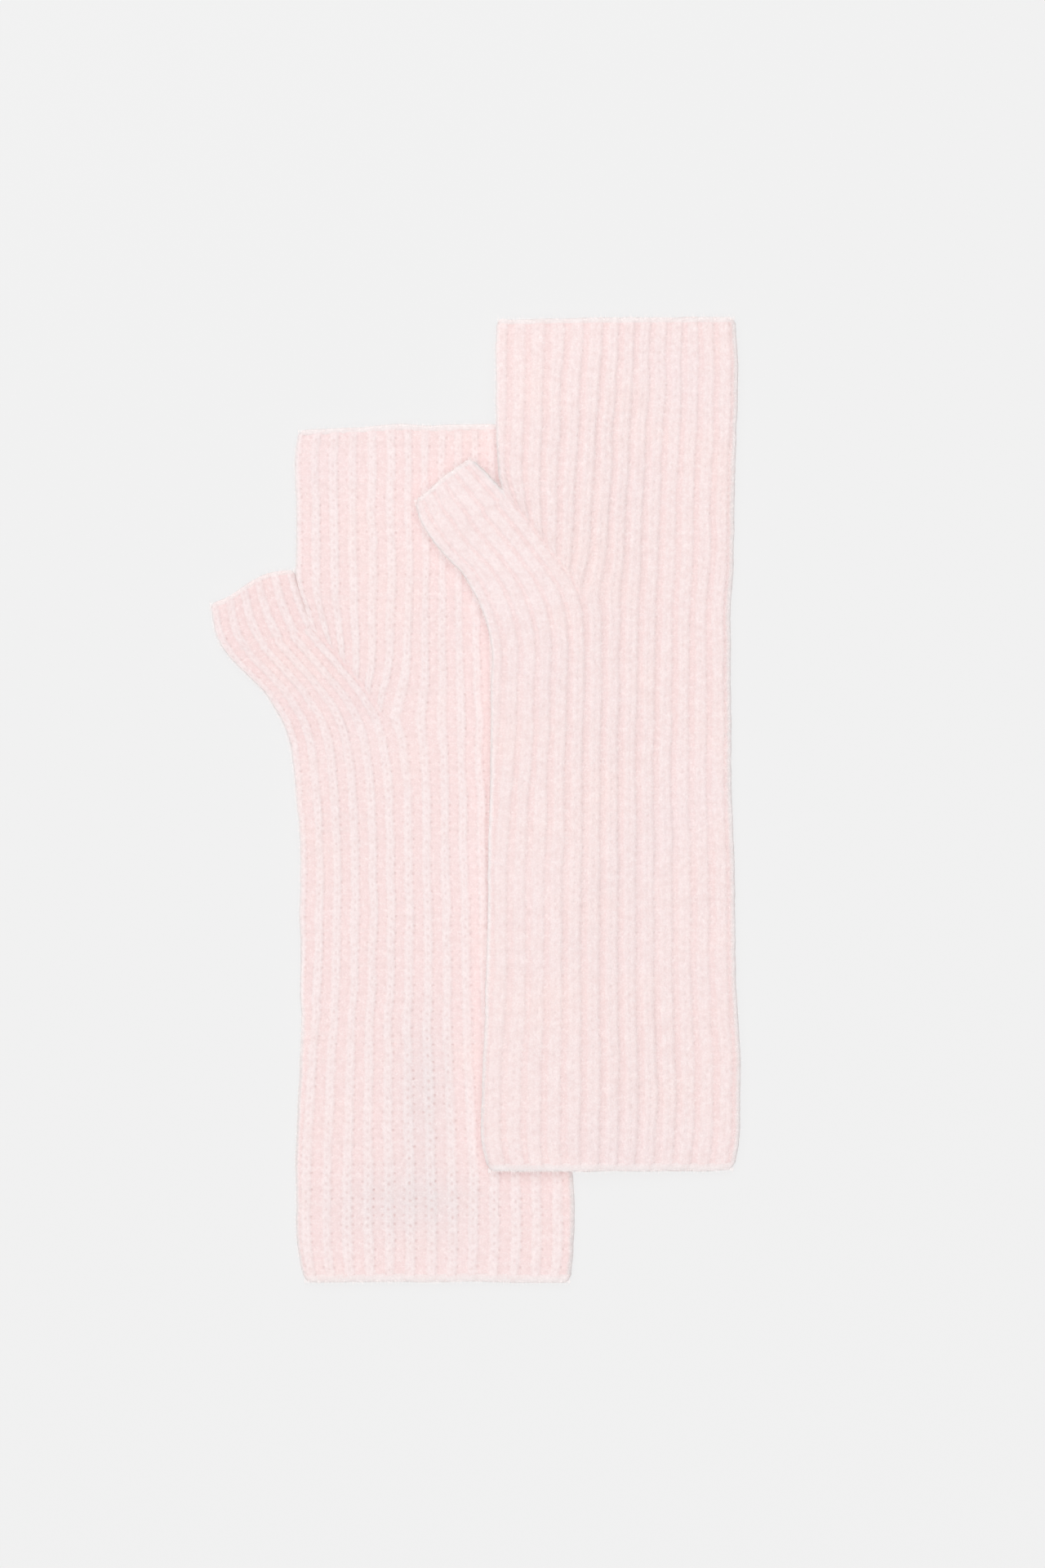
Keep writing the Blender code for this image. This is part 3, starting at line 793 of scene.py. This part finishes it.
class Finish:
    """A material with one Principled shader, whose nodes are added by name."""

    def __init__(self, name):
        self.material = bpy.data.materials.new(name)
        self.material.use_nodes = True
        self.tree = self.material.node_tree
        self.shader = self.tree.nodes["Principled BSDF"]

    def feed(self, owner, inputs):
        """Links or sets sockets of a node. A colour may be given as three numbers."""
        for name, value in inputs.items():
            socket = owner.inputs[name]
            if isinstance(value, Wire):
                self.tree.links.new(value.socket, socket)
            else:
                socket.default_value = (*value, 1.0) if socket.type == "RGBA" else value

    def node(self, kind, settings, inputs, output=0):
        """Adds a node, makes its settings, feeds its sockets, and gives one of its outputs."""
        made = self.tree.nodes.new(kind)
        for setting, value in settings.items():
            setattr(made, setting, value)
        self.feed(made, inputs)
        return Wire(self, made.outputs[output])

    def vectors(self, operation, *inputs):
        return self.node("ShaderNodeVectorMath", {"operation": operation}, dict(enumerate(inputs)))

    def parts(self, vector):
        split = self.node("ShaderNodeSeparateXYZ", {}, {0: vector}).socket.node
        return [Wire(self, socket) for socket in split.outputs]

    def colour_mix(self, share, first, second):
        """The first colour where share is 0, the second where it is 1."""
        inputs = {0: share, 6: first, 7: second}
        return self.node("ShaderNodeMix", {"data_type": "RGBA", "clamp_factor": True}, inputs, output=2)

    def spot(self, across, along, wide, high):
        """1 in the middle of a soft round spot, fading to 0 around it."""
        far = across * across * (1 / wide ** 2) + along * along * (1 / high ** 2)
        return self.node("ShaderNodeMath", {"operation": "POWER"}, {0: math.exp(-1), 1: far})

    def noise(self, vector, scale, detail=2.0):
        inputs = {"Vector": vector, "Scale": scale, "Detail": detail, "Roughness": 0.55}
        return self.node("ShaderNodeTexNoise", {"normalize": True}, inputs)


print("a Wire adds its Math nodes as an expression is read")

# %% [markdown]
# ## Brushed wool
#
# The wool is pale pink, nearly white on the crowns. The valleys get a darker, pinker colour: painted
# shade, tinted like light that bounces between the fibres. Slow clouds of warmer and cooler pink run
# through it, with faint bands along the rows, and where the left arm is worn thin the grey table seems
# to show. The small holes between the stitches are painted dark as shade. Folds that face left get a
# paler colour, a painted highlight, and folds that face right a duller, greyer one, painted shade.
# Fibres are a fine bump: short streaks that follow the yarn, plus felted fuzz. A constant sheen adds the
# soft glow of wool.

# %% The wool's colours
CROWN_PINK = (0.848, 0.732, 0.727)
# The valleys' colour is painted shade, darker and pinker than the crowns'.
VALLEY_SHADE_PINK = (0.834, 0.663, 0.655)
EDGE_PINK = (0.826, 0.728, 0.720)
WARM_PINK = (0.868, 0.702, 0.670)
COOL_PINK = (0.828, 0.705, 0.712)
# Painted shade in grey on folds that face right, and a painted highlight on folds that face left.
FOLD_SHADE_GREY = (0.775, 0.742, 0.738)
FOLD_HIGHLIGHT = (0.900, 0.860, 0.855)
ROW_PINK = (0.805, 0.665, 0.655)
# The small holes between stitches: painted shade.
PIT_SHADE_PINK = (0.640, 0.450, 0.440)
THIN_GREY = (0.690, 0.655, 0.668)
PALE_FIBRE = (0.93, 0.84, 0.83)
DARK_FIBRE = (0.76, 0.60, 0.585)
PIT_MIDDLE = 0.42, 0.62         # width and height of the hole in a V
PIT_SIDE = 0.42, 0.5            # and of the holes beside a rib


def stitch_pits(finish, knit, crown_edge):
    """1 in the small holes, which get painted shade: one in each V, and one on each side of a rib at every
    row.
    """
    warp = finish.node("ShaderNodeTexNoise", {}, {"Vector": knit, "Scale": 0.35, "Detail": 1.0}, "Color")
    shift = finish.vectors("SUBTRACT", warp, (0.5, 0.5, 0.5))
    warped = finish.vectors("MULTIPLY_ADD", shift, (0.7, 0.9, 0.0), knit)
    per_stitch = finish.vectors("DIVIDE", warped, (RIB_WIDTH, ROW, 1.0))
    cell = finish.vectors("FLOOR", per_stitch)
    across, along, _ = finish.parts(finish.vectors("SUBTRACT", per_stitch, cell))
    across, along = (across - 0.5) * RIB_WIDTH, (along - 0.5) * ROW
    lots = finish.parts(finish.node("ShaderNodeTexWhiteNoise", {}, {"Vector": cell}, "Color"))
    middle = finish.spot(across, along - 0.15, *PIT_MIDDLE) * (0.35 + 0.65 * lots[0])
    right = finish.spot(across - crown_edge - 0.4, along - 1.0, *PIT_SIDE) * (0.25 + 0.75 * lots[1])
    left = finish.spot(across + crown_edge + 0.4, along - 1.0, *PIT_SIDE) * (0.1 + 0.6 * lots[2])
    return 0.75 * middle + right + left


print("a hole is", 2 * PIT_MIDDLE[0], "mm wide")

# %% The wool's finish
def wool_finish(name, crown_pink, valley_shade_pink, fold_shade_colour=FOLD_SHADE_GREY, has_pits=True):
    finish = Finish(name)
    knit = finish.node("ShaderNodeUVMap", {"uv_map": "Knit"}, {})
    form = finish.node("ShaderNodeAttribute", {"attribute_name": "form"}, {}, "Color")
    fold = Wire(finish, form.socket.node.outputs["Alpha"])
    crown, crown_edge, thin = finish.parts(form)
    place = finish.node("ShaderNodeNewGeometry", {}, {}, "Position")
    clouds, cool = finish.noise(place, 38.0), finish.noise(place, 21.0, 1.0)
    flecks, tufts = finish.noise(place, 1500.0), finish.noise(place, 420.0)
    rows = finish.noise(finish.vectors("MULTIPLY", knit, (0.03, 0.28, 1.0)), 1.0, 1.0)
    pits = stitch_pits(finish, knit, crown_edge) if has_pits else 0.0 * flecks
    broken = 0.55 * (tufts - 0.5) + 0.35 * (flecks - 0.5)
    # The crowns' pink turns into the valleys' painted shade where the crown share falls.
    pink = finish.colour_mix(crown * (1.53 - 0.40 * crown_edge) + broken, valley_shade_pink, crown_pink)
    # The holes' painted shade is stronger where the knit is thin and where the crowns are narrow.
    open_knit = (0.75 + 0.9 * thin) * (2.6 - crown_edge) * 0.5
    for share, colour in (
        ((clouds - 0.5) * 1.6, WARM_PINK),
        ((cool - 0.52) * 1.8, COOL_PINK),
        ((rows - 0.52) * 1.8, ROW_PINK),
        (thin * 0.42, THIN_GREY),
        # The small holes get painted shade.
        (pits * open_knit * (0.4 + 1.4 * tufts), PIT_SHADE_PINK),
        # Folds that face right get painted shade, and folds that face left a painted highlight.
        (fold * 0.85, fold_shade_colour),
        (fold * -0.8, FOLD_HIGHLIGHT),
        ((flecks - 0.5) * 1.3 + (tufts - 0.5) * 1.0, PALE_FIBRE),
        ((0.5 - flecks) * 1.1 + (0.5 - tufts) * 1.2, DARK_FIBRE),
    ):
        pink = finish.colour_mix(share, pink, colour)
    fibres = finish.noise(finish.vectors("MULTIPLY", knit, (1.0, 0.45, 1.0)), 2.2, 3.0)
    height = fibres * 0.6 + finish.noise(place, 2400.0) * 0.3 - 0.4 * pits
    bump = {"Height": height, "Strength": 0.6, "Distance": 0.0006}
    finish.feed(finish.shader, {
        "Base Color": pink,
        "Normal": finish.node("ShaderNodeBump", {}, bump),
        "Roughness": 0.92 + 0.06 * flecks,
        "Specular IOR Level": 0.2,
        "Sheen Weight": 0.45,
        "Sheen Roughness": 0.35,
        "Sheen Tint": (1.0, 0.95, 0.94),
    })
    return finish.material


# Each wool has its crowns' pink and its valleys' painted shade; the left thumb also has its own darker fold
# colour, painted shade as well.
BODY_WOOL = {
    "left": wool_finish("left_body_wool", CROWN_PINK, VALLEY_SHADE_PINK),
    "right": wool_finish("right_body_wool", (0.839, 0.721, 0.714), (0.825, 0.653, 0.643)),
}
THUMB_WOOL = {
    "left": wool_finish(
        "left_thumb_wool", (0.841, 0.721, 0.717), (0.822, 0.642, 0.635), (0.740, 0.590, 0.575)
    ),
    "right": wool_finish("right_thumb_wool", (0.850, 0.740, 0.735), (0.836, 0.670, 0.662)),
}
# The edges' valleys get painted shade too.
EDGE_WOOL = wool_finish("edge_wool", EDGE_PINK, (0.815, 0.700, 0.690), has_pits=False)
print("nodes in the wool:", len(BODY_WOOL["left"].node_tree.nodes))

# %% [markdown]
# ## Arm and hand
#
# The body is one tube from the arm's edge to the hand's edge, with a hole for the thumb. The arm and the
# hand are two grids that share the columns right of the split. Left of it the arm's grid ends at the
# fork's row, where the thumb goes on, and the hand's starts along the seam.

# %% Rims that close the wall
INNER_EVERY = 16        # rings of the body's outer skin to one of its inner skin
UNDER_EDGE = 0.72       # a skin ends under its edge's bead, at this share of the bead's height


def rim_faces(rings, ribs, spanned, upper):
    """Faces between an outer ring of points and an inner one, one for each rib that is spanned."""
    faces = []
    for rib in spanned:
        (first, last), (start, end) = (
            [int(np.argmin(np.abs(places - side))) for side in (rib, rib + 1)] for places in ribs
        )
        path = [*rings[0][first:last + 1], rings[1][end], rings[1][start]]
        faces.append(path if upper else path[::-1])
    return faces


two_rings, their_ribs = (np.arange(3), np.arange(3, 5)), (np.array([0, 0.5, 1]), np.array([0, 1]))
print("a rim face of one rib:", [int(n) for n in rim_faces(two_rings, their_ribs, [0], True)[0]])

# %% The body of a mitt
def knit_body(mitt):
    skin = Skin()
    ribs, inner_ribs = TUBE_COLUMNS, np.array(TUBE_RIBS, float)
    closed_ribs = [np.append(places, places[0] + RIBS) for places in (ribs, inner_ribs)]
    shared = (ribs >= SPLIT - 1e-9) & (ribs <= RIBS - SPLIT + 1e-9)
    shared = shared | (np.abs(ribs + SPLIT) < 1e-9)
    inner_shared = (inner_ribs >= SPLIT) | (inner_ribs == -SPLIT)
    arm_ups = rings_between(ARM_EDGE * UNDER_EDGE, mitt.fork_up)
    hand_ups = rings_between(mitt.fork_up, mitt.hand[-1, 0] - HAND_EDGE * UNDER_EDGE)
    blocks = []
    for place_on, ups in ((on_arm, arm_ups), (on_hand, hand_ups)):
        points, form, height = outer_face(mitt, place_on, ups, ribs)
        outer = skin.add_grid(points, form)
        picked = np.unique(np.append(np.arange(0, len(ups), INNER_EVERY), len(ups) - 1))
        inner = skin.add_grid(inner_face(mitt, place_on, ups[picked], inner_ribs))
        blocks.append((outer, inner, height))
    for part, kept in ((0, shared), (1, inner_shared)):
        blocks[1][part][0, kept] = blocks[0][part][-1, kept]
    arm, hand = ([np.column_stack([grid, grid[:, 0]]) for grid in block] for block in blocks)
    for (outer, inner, heights), low, high in ((arm, 0.01, 0.66), (hand, 0.67, 0.97)):
        skin.add_wall(outer, inner, closed_ribs, heights, low, high)
    for block, ring, spanned, upper in (
        (arm, 0, TUBE_RIBS, False), (hand, -1, TUBE_RIBS, True),
        (arm, -1, THUMB_RIBS, True), (hand, 0, THUMB_RIBS, False),
    ):
        rings = [grid[ring] for grid in block[:2]]
        skin.add_rims(rim_faces(rings, closed_ribs, spanned, upper))
    return skin


for mitt in (LEFT, RIGHT):
    node = f"{mitt.name}_body"
    add_piece(
        node + "_wool", knit_body(mitt), BODY_WOOL[mitt.name], [node]
    )

# %% [markdown]
# ## Thumb
#
# The thumb takes twelve ribs of the arm and is open along its seam as far as the crotch. From there on
# its first and last columns are the same points, which shuts the tube. Along the open part a narrow
# face closes the wall at each side.

# %% The thumb of a mitt
def knit_thumb(mitt):
    skin = Skin()
    ribs = THUMB_COLUMNS, np.array([*THUMB_RIBS, SPLIT])
    seam_ups = rings_between(mitt.fork_up, mitt.crotch_up)
    free_ups = rings_between(mitt.crotch_up, mitt.thumb_end - THUMB_EDGE * UNDER_EDGE)[1:]
    ups = np.append(seam_ups, free_ups)
    open_rings = len(seam_ups) - 1
    points, form, heights = outer_face(mitt, on_thumb, ups, ribs[0])
    outer = skin.add_grid(points, form)
    inner = skin.add_grid(inner_face(mitt, on_thumb, ups, ribs[1]))
    for grid in (outer, inner):
        grid[open_rings:, -1] = grid[open_rings:, 0]
    skin.add_wall(outer, inner, ribs, heights, 0.01, 0.96)
    for ring, upper in ((0, False), (-1, True)):
        skin.add_rims(rim_faces((outer[ring], inner[ring]), ribs, THUMB_RIBS, upper))
    sides = []
    for low, high in zip(range(open_rings), range(1, open_rings + 1)):
        sides.append([outer[low, 0], outer[high, 0], inner[high, 0], inner[low, 0]])
        sides.append([inner[low, -1], inner[high, -1], outer[high, -1], outer[low, -1]])
    skin.add_rims(sides)
    return skin


for mitt in (LEFT, RIGHT):
    node = f"{mitt.name}_thumb"
    add_piece(
        node + "_wool", knit_thumb(mitt), THUMB_WOOL[mitt.name], [node]
    )

# %% [markdown]
# ## Edges
#
# The arm starts with a rolled cast-on edge, and the hand and the thumb end in a narrow bound-off one.
# Each is a soft bead all round its opening. Its section is a rounded oblong as deep as the wall, and the
# stitches lean across it, two to a rib.

# %% A bead round an opening
BEAD_ROUND = 20         # points round a bead
BEAD_COLUMNS = 12       # points to a rib along it
BEAD_POWERS = 0.75, 0.6     # under 1 they square its section, along the mitt and across the wall
STITCH_RISE = 0.12
CORNER_DROP = 1.3       # its free side draws back this far at a side fold
EDGE_WAVE = 0.3         # and it wanders by this much along the edge
FREE_SIDE_GREY = 0.9          # share of the folds' grey at its free side
THUMB_FREE_SIDE_GREY = 0.3    # and at a thumb's free side, less


def knit_edge(mitt, place_on, base, height, roll, ribs, free_up, ribbed):
    """A bead from this height of the mitt. ribbed says how far the mitt's ribs run over it."""
    turn = np.linspace(0, 2 * math.pi, BEAD_ROUND, endpoint=False)[:, None]
    along, deep = (
        np.sign(side) * np.abs(side) ** power
        for side, power in zip((np.cos(turn), np.sin(turn)), BEAD_POWERS)
    )
    free = (along + 1) / 2 if free_up else (1 - along) / 2
    up = np.broadcast_to(base + height / 2 * (1 + along), (BEAD_ROUND, len(ribs)))
    rib = np.broadcast_to(ribs[None, :], up.shape)
    out = place_on(mitt, up, rib)[1]
    sideways = 1 - np.abs(out[..., 2])
    seed = 90 if mitt.name == "left" else 95
    wave = EDGE_WAVE * gentle_waves(rib * 0.8, up * 0 + ribbed, seed + 1)
    drop = CORNER_DROP * smooth(sideways) - wave
    core, out = place_on(mitt, up - drop * free * (1 if free_up else -1), rib)
    front = np.clip(1 + out[..., 2], 0, 1)
    slip = 0.2 * gentle_waves(rib * 2.0, up * 0 + ribbed, seed)
    beat = np.abs(np.sin(math.pi * (2 * rib + 0.7 * turn / math.pi + slip)))
    flat, fall = crown_width(mitt, rib, up, 1.0 if place_on is on_thumb else 0.0)
    stands, crown = rib_knit(mitt.name, rib, up, flat, fall)
    ripple = ribbed * (1 - 0.6 * free) * (stands - 0.3) * front
    reach = (WALL + roll * front) / 2
    depth = HOLLOW / 2 + reach * (1 + deep) + (STITCH_RISE * (beat ** 0.7 - 1) + ripple) * (deep > 0)
    squeeze = CORNER * smooth((free - 0.35) / 0.65)
    points = laid(mitt, core, out, depth)
    points[..., 0] -= np.sign(out[..., 0]) * sideways * squeeze * MM * (np.abs(out[..., 0]) > 1e-6)
    # How much of the crowns' pink shows against the valleys' painted shade: less between the bead's
    # stitches, and less all over on the arm's edge, which is painted darker as shade.
    shown = mix(0.6 + 0.4 * beat, crown, ribbed) * (1.0 if free_up else 0.4)
    # A bead's side folds get the folds' grey painted shade, and its free side a greyer strip.
    free_side_grey = THUMB_FREE_SIDE_GREY if place_on is on_thumb else FREE_SIDE_GREY
    shade_grey_share = np.maximum(smooth((sideways - 0.1) / 0.8), free_side_grey * free * (deep > -0.2))
    form = np.stack([shown, 1.5 + 0 * beat, 0 * beat, shade_grey_share], -1)
    skin = Skin()
    numbers = skin.add_grid(points, form)
    numbers = np.vstack([numbers, numbers[:1]])
    numbers = np.column_stack([numbers, numbers[:, 0]])
    heights = np.broadcast_to(np.linspace(0, 2 * height, BEAD_ROUND + 1)[:, None], numbers.shape)
    step = ribs[1] - ribs[0]
    closed_ribs = np.append(ribs, ribs[-1] + step)
    skin.add_quads(numbers, closed_ribs, heights, (0.01, 0.01), (0.98, 0.9), inward=True)
    return skin


print("a bead has", BEAD_ROUND * BEAD_COLUMNS, "points to a rib")

# %% The six edges
tube_ribs = np.arange(0, RIBS, 1 / BEAD_COLUMNS)
thumb_ribs = np.arange(-SPLIT, SPLIT, 1 / BEAD_COLUMNS)
RIBBED = {"left": (0.5, 0.2, 0.6), "right": (0.6, 0.9, 0.5)}     # arm, hand and thumb
for mitt in (LEFT, RIGHT):
    top, end = mitt.hand[-1, 0], mitt.thumb_end
    arm_ribbed, hand_ribbed, thumb_ribbed = RIBBED[mitt.name]
    for part, place_on, base, height, roll, ribs, free_up, ribbed in (
        ("arm", on_arm, 0.0, ARM_EDGE, ARM_ROLL, tube_ribs, False, arm_ribbed),
        ("hand", on_hand, top - HAND_EDGE, HAND_EDGE, HAND_ROLL, tube_ribs, True, hand_ribbed),
        ("thumb", on_thumb, end - THUMB_EDGE, THUMB_EDGE, THUMB_ROLL, thumb_ribs, True, thumb_ribbed),
    ):
        skin = knit_edge(mitt, place_on, base, height, roll, ribs, free_up, ribbed)
        node = f"{mitt.name}_{part}_edge"
        add_piece(node + "_wool", skin, EDGE_WOOL, [node])

# %% [markdown]
# ## Loose fibres
#
# Brushed wool has a halo: fine loose fibres that stand off its outline and lie over its face. Hair would
# be the usual way, but it doesn't travel with a mesh, so each fibre is a thin closed spike with a bend.
# Most are spread along the outline, where they show against the table.

# %% Roots and directions of the fibres
FIBRE_RADIUS = 0.026
FIBRE_LENGTHS = 0.5, 2.1
ROOT_RISE = 0.15        # roots are this far over the wall
NEAR = -0.5, 0.5        # ribs to both sides of a fold


def outline_spots(mitt, chance):
    """Kinds of places: (piece of the mitt, heights, ribs, way out past an end or None)."""
    fork, top, end = mitt.fork_up, mitt.hand[-1, 0], mitt.thumb_end
    arm_ups, hand_ups = chance.uniform(3, fork, 3200), chance.uniform(fork, top - 3, 1500)
    arm_fold, hand_fold = (
        curve_through(rows[:, 0], rows[:, 5], ups)
        for rows, ups in ((mitt.arm, arm_ups), (mitt.hand, hand_ups))
    )
    sides = np.where(chance.uniform(0, 1, 300) < 0.5, SPLIT, -SPLIT) * chance.uniform(0.95, 1, 300)
    way_up = np.array([0.0, 1.0])
    spots = []
    # Piece, count, heights, ribs, where the ribs are counted from, and way out. A pair is a range.
    for place_on, count, ups, ribs, start, past_end in (
        (on_arm, 3200, arm_ups, NEAR, arm_fold, None),
        (on_arm, 3200, (3, fork), NEAR, RIGHT_FOLD, None),
        (on_hand, 1500, hand_ups, NEAR, hand_fold, None),
        (on_hand, 1700, (fork, top - 3), NEAR, RIGHT_FOLD, None),
        (on_thumb, 1500, (fork, end - 1), NEAR, 0, None),
        (on_thumb, 300, (mitt.crotch_up + FOLD, end - 1), sides, 0, None),
        (on_arm, 1500, (0.2, 1.2), (0, RIGHT_FOLD), 0, -way_up),
        (on_hand, 1500, (top - 1.2, top - 0.3), (0, RIGHT_FOLD), 0, way_up),
        (on_thumb, 600, (end - 1.2, end - 0.3), (0, SPLIT), 0, mitt.thumb_way),
        (on_arm, 1500, (3, fork), (0.5, 14), 0, None),
        (on_hand, 700, (fork + 30, top - 3), (0.5, 14), 0, None),
        (on_thumb, 360, (fork, end - 2), (0.5, 5.5), 0, None),
    ):
        if isinstance(ups, tuple):
            ups = chance.uniform(*ups, count)
        if isinstance(ribs, tuple):
            ribs = chance.uniform(*ribs, count)
        spots.append((place_on, ups, start + ribs, past_end))
    return spots


def loose_fibres(mitt):
    """Roots, middles and tips of the fibres, in metres."""
    chance = np.random.default_rng(7 if mitt.name == "left" else 8)
    fibres = []
    for place_on, up, rib, past_end in outline_spots(mitt, chance):
        count = (len(up), 1)
        core, out = place_on(mitt, up, rib)
        root = laid(mitt, core, out, HOLLOW / 2 + WALL + ROOT_RISE)
        ahead = np.broadcast_to((0.0, 1.0, 0.0), out.shape)
        beside = np.cross(out, ahead)
        lying, standing = chance.uniform(0.05, 0.3, count), chance.uniform(0.25, 1.0, count)
        stand = mix(lying, standing, 1 - np.abs(out[:, 2:]))
        if past_end is not None:
            out = np.broadcast_to(np.append(past_end, 0.1), out.shape)
            stand = chance.uniform(0.2, 1.0, count)
        angle = chance.uniform(0, 2 * math.pi, count)
        way = out * stand + (ahead * np.cos(angle) + beside * np.sin(angle)) * (1.05 - stand)
        bend = ahead * np.sin(angle * 3) * 0.5 + beside * np.cos(angle * 2) * 0.5
        length = chance.uniform(*FIBRE_LENGTHS, count) * MM
        middle = root + way * length * 0.5
        fibres.append((root, middle, middle + (way + bend) * length * 0.5))
    return [np.vstack(part) for part in zip(*fibres)]


print("a fibre is", 2 * FIBRE_RADIUS, "mm thick at its root")

# %% The fuzz
def spikes(root, middle, tip):
    """Seven points of each fibre: three round its root, three round its middle, and its tip."""
    way = tip - root
    across = np.cross(way, np.broadcast_to((0.3, 0.2, 1.0), way.shape))
    across /= np.linalg.norm(across, axis=1, keepdims=True)
    over = np.cross(way, across)
    over /= np.linalg.norm(over, axis=1, keepdims=True)
    rings = []
    for centre, radius in ((root, FIBRE_RADIUS), (middle, FIBRE_RADIUS * 0.75)):
        for turn in (0.0, 2 * math.pi / 3, 4 * math.pi / 3):
            rings.append(centre + (across * math.cos(turn) + over * math.sin(turn)) * radius * MM)
    points = np.stack(rings + [tip], axis=1)
    points[..., 2] = np.maximum(points[..., 2], 0.02 * MM)
    return points


# The fibres glow faintly with their own emission: painted light.
FUZZ = Finish("loose_fibres")
FUZZ.feed(FUZZ.shader, {
    "Base Color": (0.93, 0.88, 0.87),
    "Emission Color": (1.0, 0.92, 0.91),
    "Emission Strength": 0.2,
    "Roughness": 1.0,
    "Specular IOR Level": 0.0,
})
TRIANGLES = ((2, 1, 0), (3, 4, 6), (4, 5, 6), (5, 3, 6))
SQUARES = ((0, 1, 4, 3), (1, 2, 5, 4), (2, 0, 3, 5))
SPOT = ((0.1, 0.1), (0.9, 0.1), (0.9, 0.9), (0.1, 0.9))      # every face fills the same spot of the map
for mitt in (LEFT, RIGHT):
    points = spikes(*loose_fibres(mitt))
    skin = Skin()
    first = skin.add_grid(points)[:, :1]
    for kind in (TRIANGLES, SQUARES):
        faces = np.concatenate([first + np.array(face) for face in kind])
        corners = np.tile(SPOT[:faces.shape[1]], (len(faces), 1))
        skin.faces.append(faces)
        skin.knit.append(corners)
        skin.chart.append(corners)
    add_piece(f"{mitt.name}_fuzz", skin, FUZZ.material, [])

# %% [markdown]
# ## What the cloth was before it was laid
#
# Each tube is a sheet of knit. The body is 28 ribs wide and 296 mm long, less the hole for the thumb. The
# thumb is a strip of twelve ribs.

# %% The sheets
for mitt in (LEFT, RIGHT):
    name = mitt.name

# %% [markdown]
# ## Table, light and camera
#
# The pair was photographed from straight above on a plain pale table that seems to glow, in light so
# soft that hardly a shadow shows. So most of the table's light here is its own. A white world lights
# everything evenly. A wide sun without shadows fills the valleys and folds, a weak sun from the photo's
# top gives the faint shades beside the upper mitt, and a weak panel makes the top a trace brighter. The
# camera looks straight down from far away, through a long lens, so that the cloth's sides hardly show.

# %% A plain pale table
REACH = 4.0
corners = [(x * REACH, y * REACH, 0.0) for x, y in ((-1, -1), (1, -1), (1, 1), (-1, 1))]
floor_mesh = bpy.data.meshes.new("stage_floor")
floor_mesh.from_pydata(corners, [], [(0, 1, 2, 3)])
table = Finish("table_paint")
table.feed(table.shader, {
    "Base Color": (0.13, 0.13, 0.13),
    "Emission Color": (1.0, 1.0, 1.0),
    "Emission Strength": 0.727,
    "Roughness": 1.0,
    "Specular IOR Level": 0.0,
})
floor_mesh.materials.append(table.material)
put("stage_floor", floor_mesh)
print("the table is", 2 * REACH, "m wide")

# %% Soft light
ROOM_LIGHT = 0.46
world = bpy.data.worlds.new("soft_room")
world.use_nodes = True
room = world.node_tree.nodes["Background"]
room.inputs["Color"].default_value = (1.0, 1.0, 1.0, 1.0)
room.inputs["Strength"].default_value = ROOM_LIGHT
bpy.context.scene.world = world

FILL_SUN = {"energy": 1.975, "angle": math.radians(80), "use_shadow": False}
TOP_SUN = {"energy": 0.20, "angle": math.radians(45)}
TOP_PANEL = {"energy": 0.20, "shape": "DISK", "size": 0.3, "use_shadow": False}
for name, kind, settings, place, turn in (
    ("fill_sun", "SUN", FILL_SUN, (0.0, 0.0, 0.0), (-6, -6, 0)),
    ("top_sun", "SUN", TOP_SUN, (0.0, 0.0, 0.0), (-20, -4, 0)),
    ("top_panel", "AREA", TOP_PANEL, (-0.16, 0.5, 0.4), (-48, 0, 18)),
):
    light = bpy.data.lights.new(name, kind)
    for setting, value in settings.items():
        setattr(light, setting, value)
    put(name, light, place, turn)
bpy.context.scene.view_settings.view_transform = "Standard"
print("light from the room", ROOM_LIGHT, "and from", len(bpy.data.lights), "lights")

# %% The camera over the table
PHOTO_WIDE, PHOTO_HIGH = 1280, 1921
PIXELS_PER_MM = 3.483
SENSOR = 36.0
EYE = (0.01626, 0.0056, 2.4)
camera = bpy.data.cameras.new("camera")
camera.sensor_fit = "VERTICAL"
camera.sensor_height = SENSOR
camera.sensor_width = SENSOR * PHOTO_WIDE / PHOTO_HIGH
camera.lens = SENSOR * EYE[2] / (PHOTO_HIGH / PIXELS_PER_MM * MM)
bpy.context.scene.camera = put("camera", camera, EYE)
print("lens:", round(camera.lens, 1), "mm")

# %% [markdown]
# ## The end
#
# Last, the view layer is brought up to date.

# %% The end
bpy.context.view_layer.update()
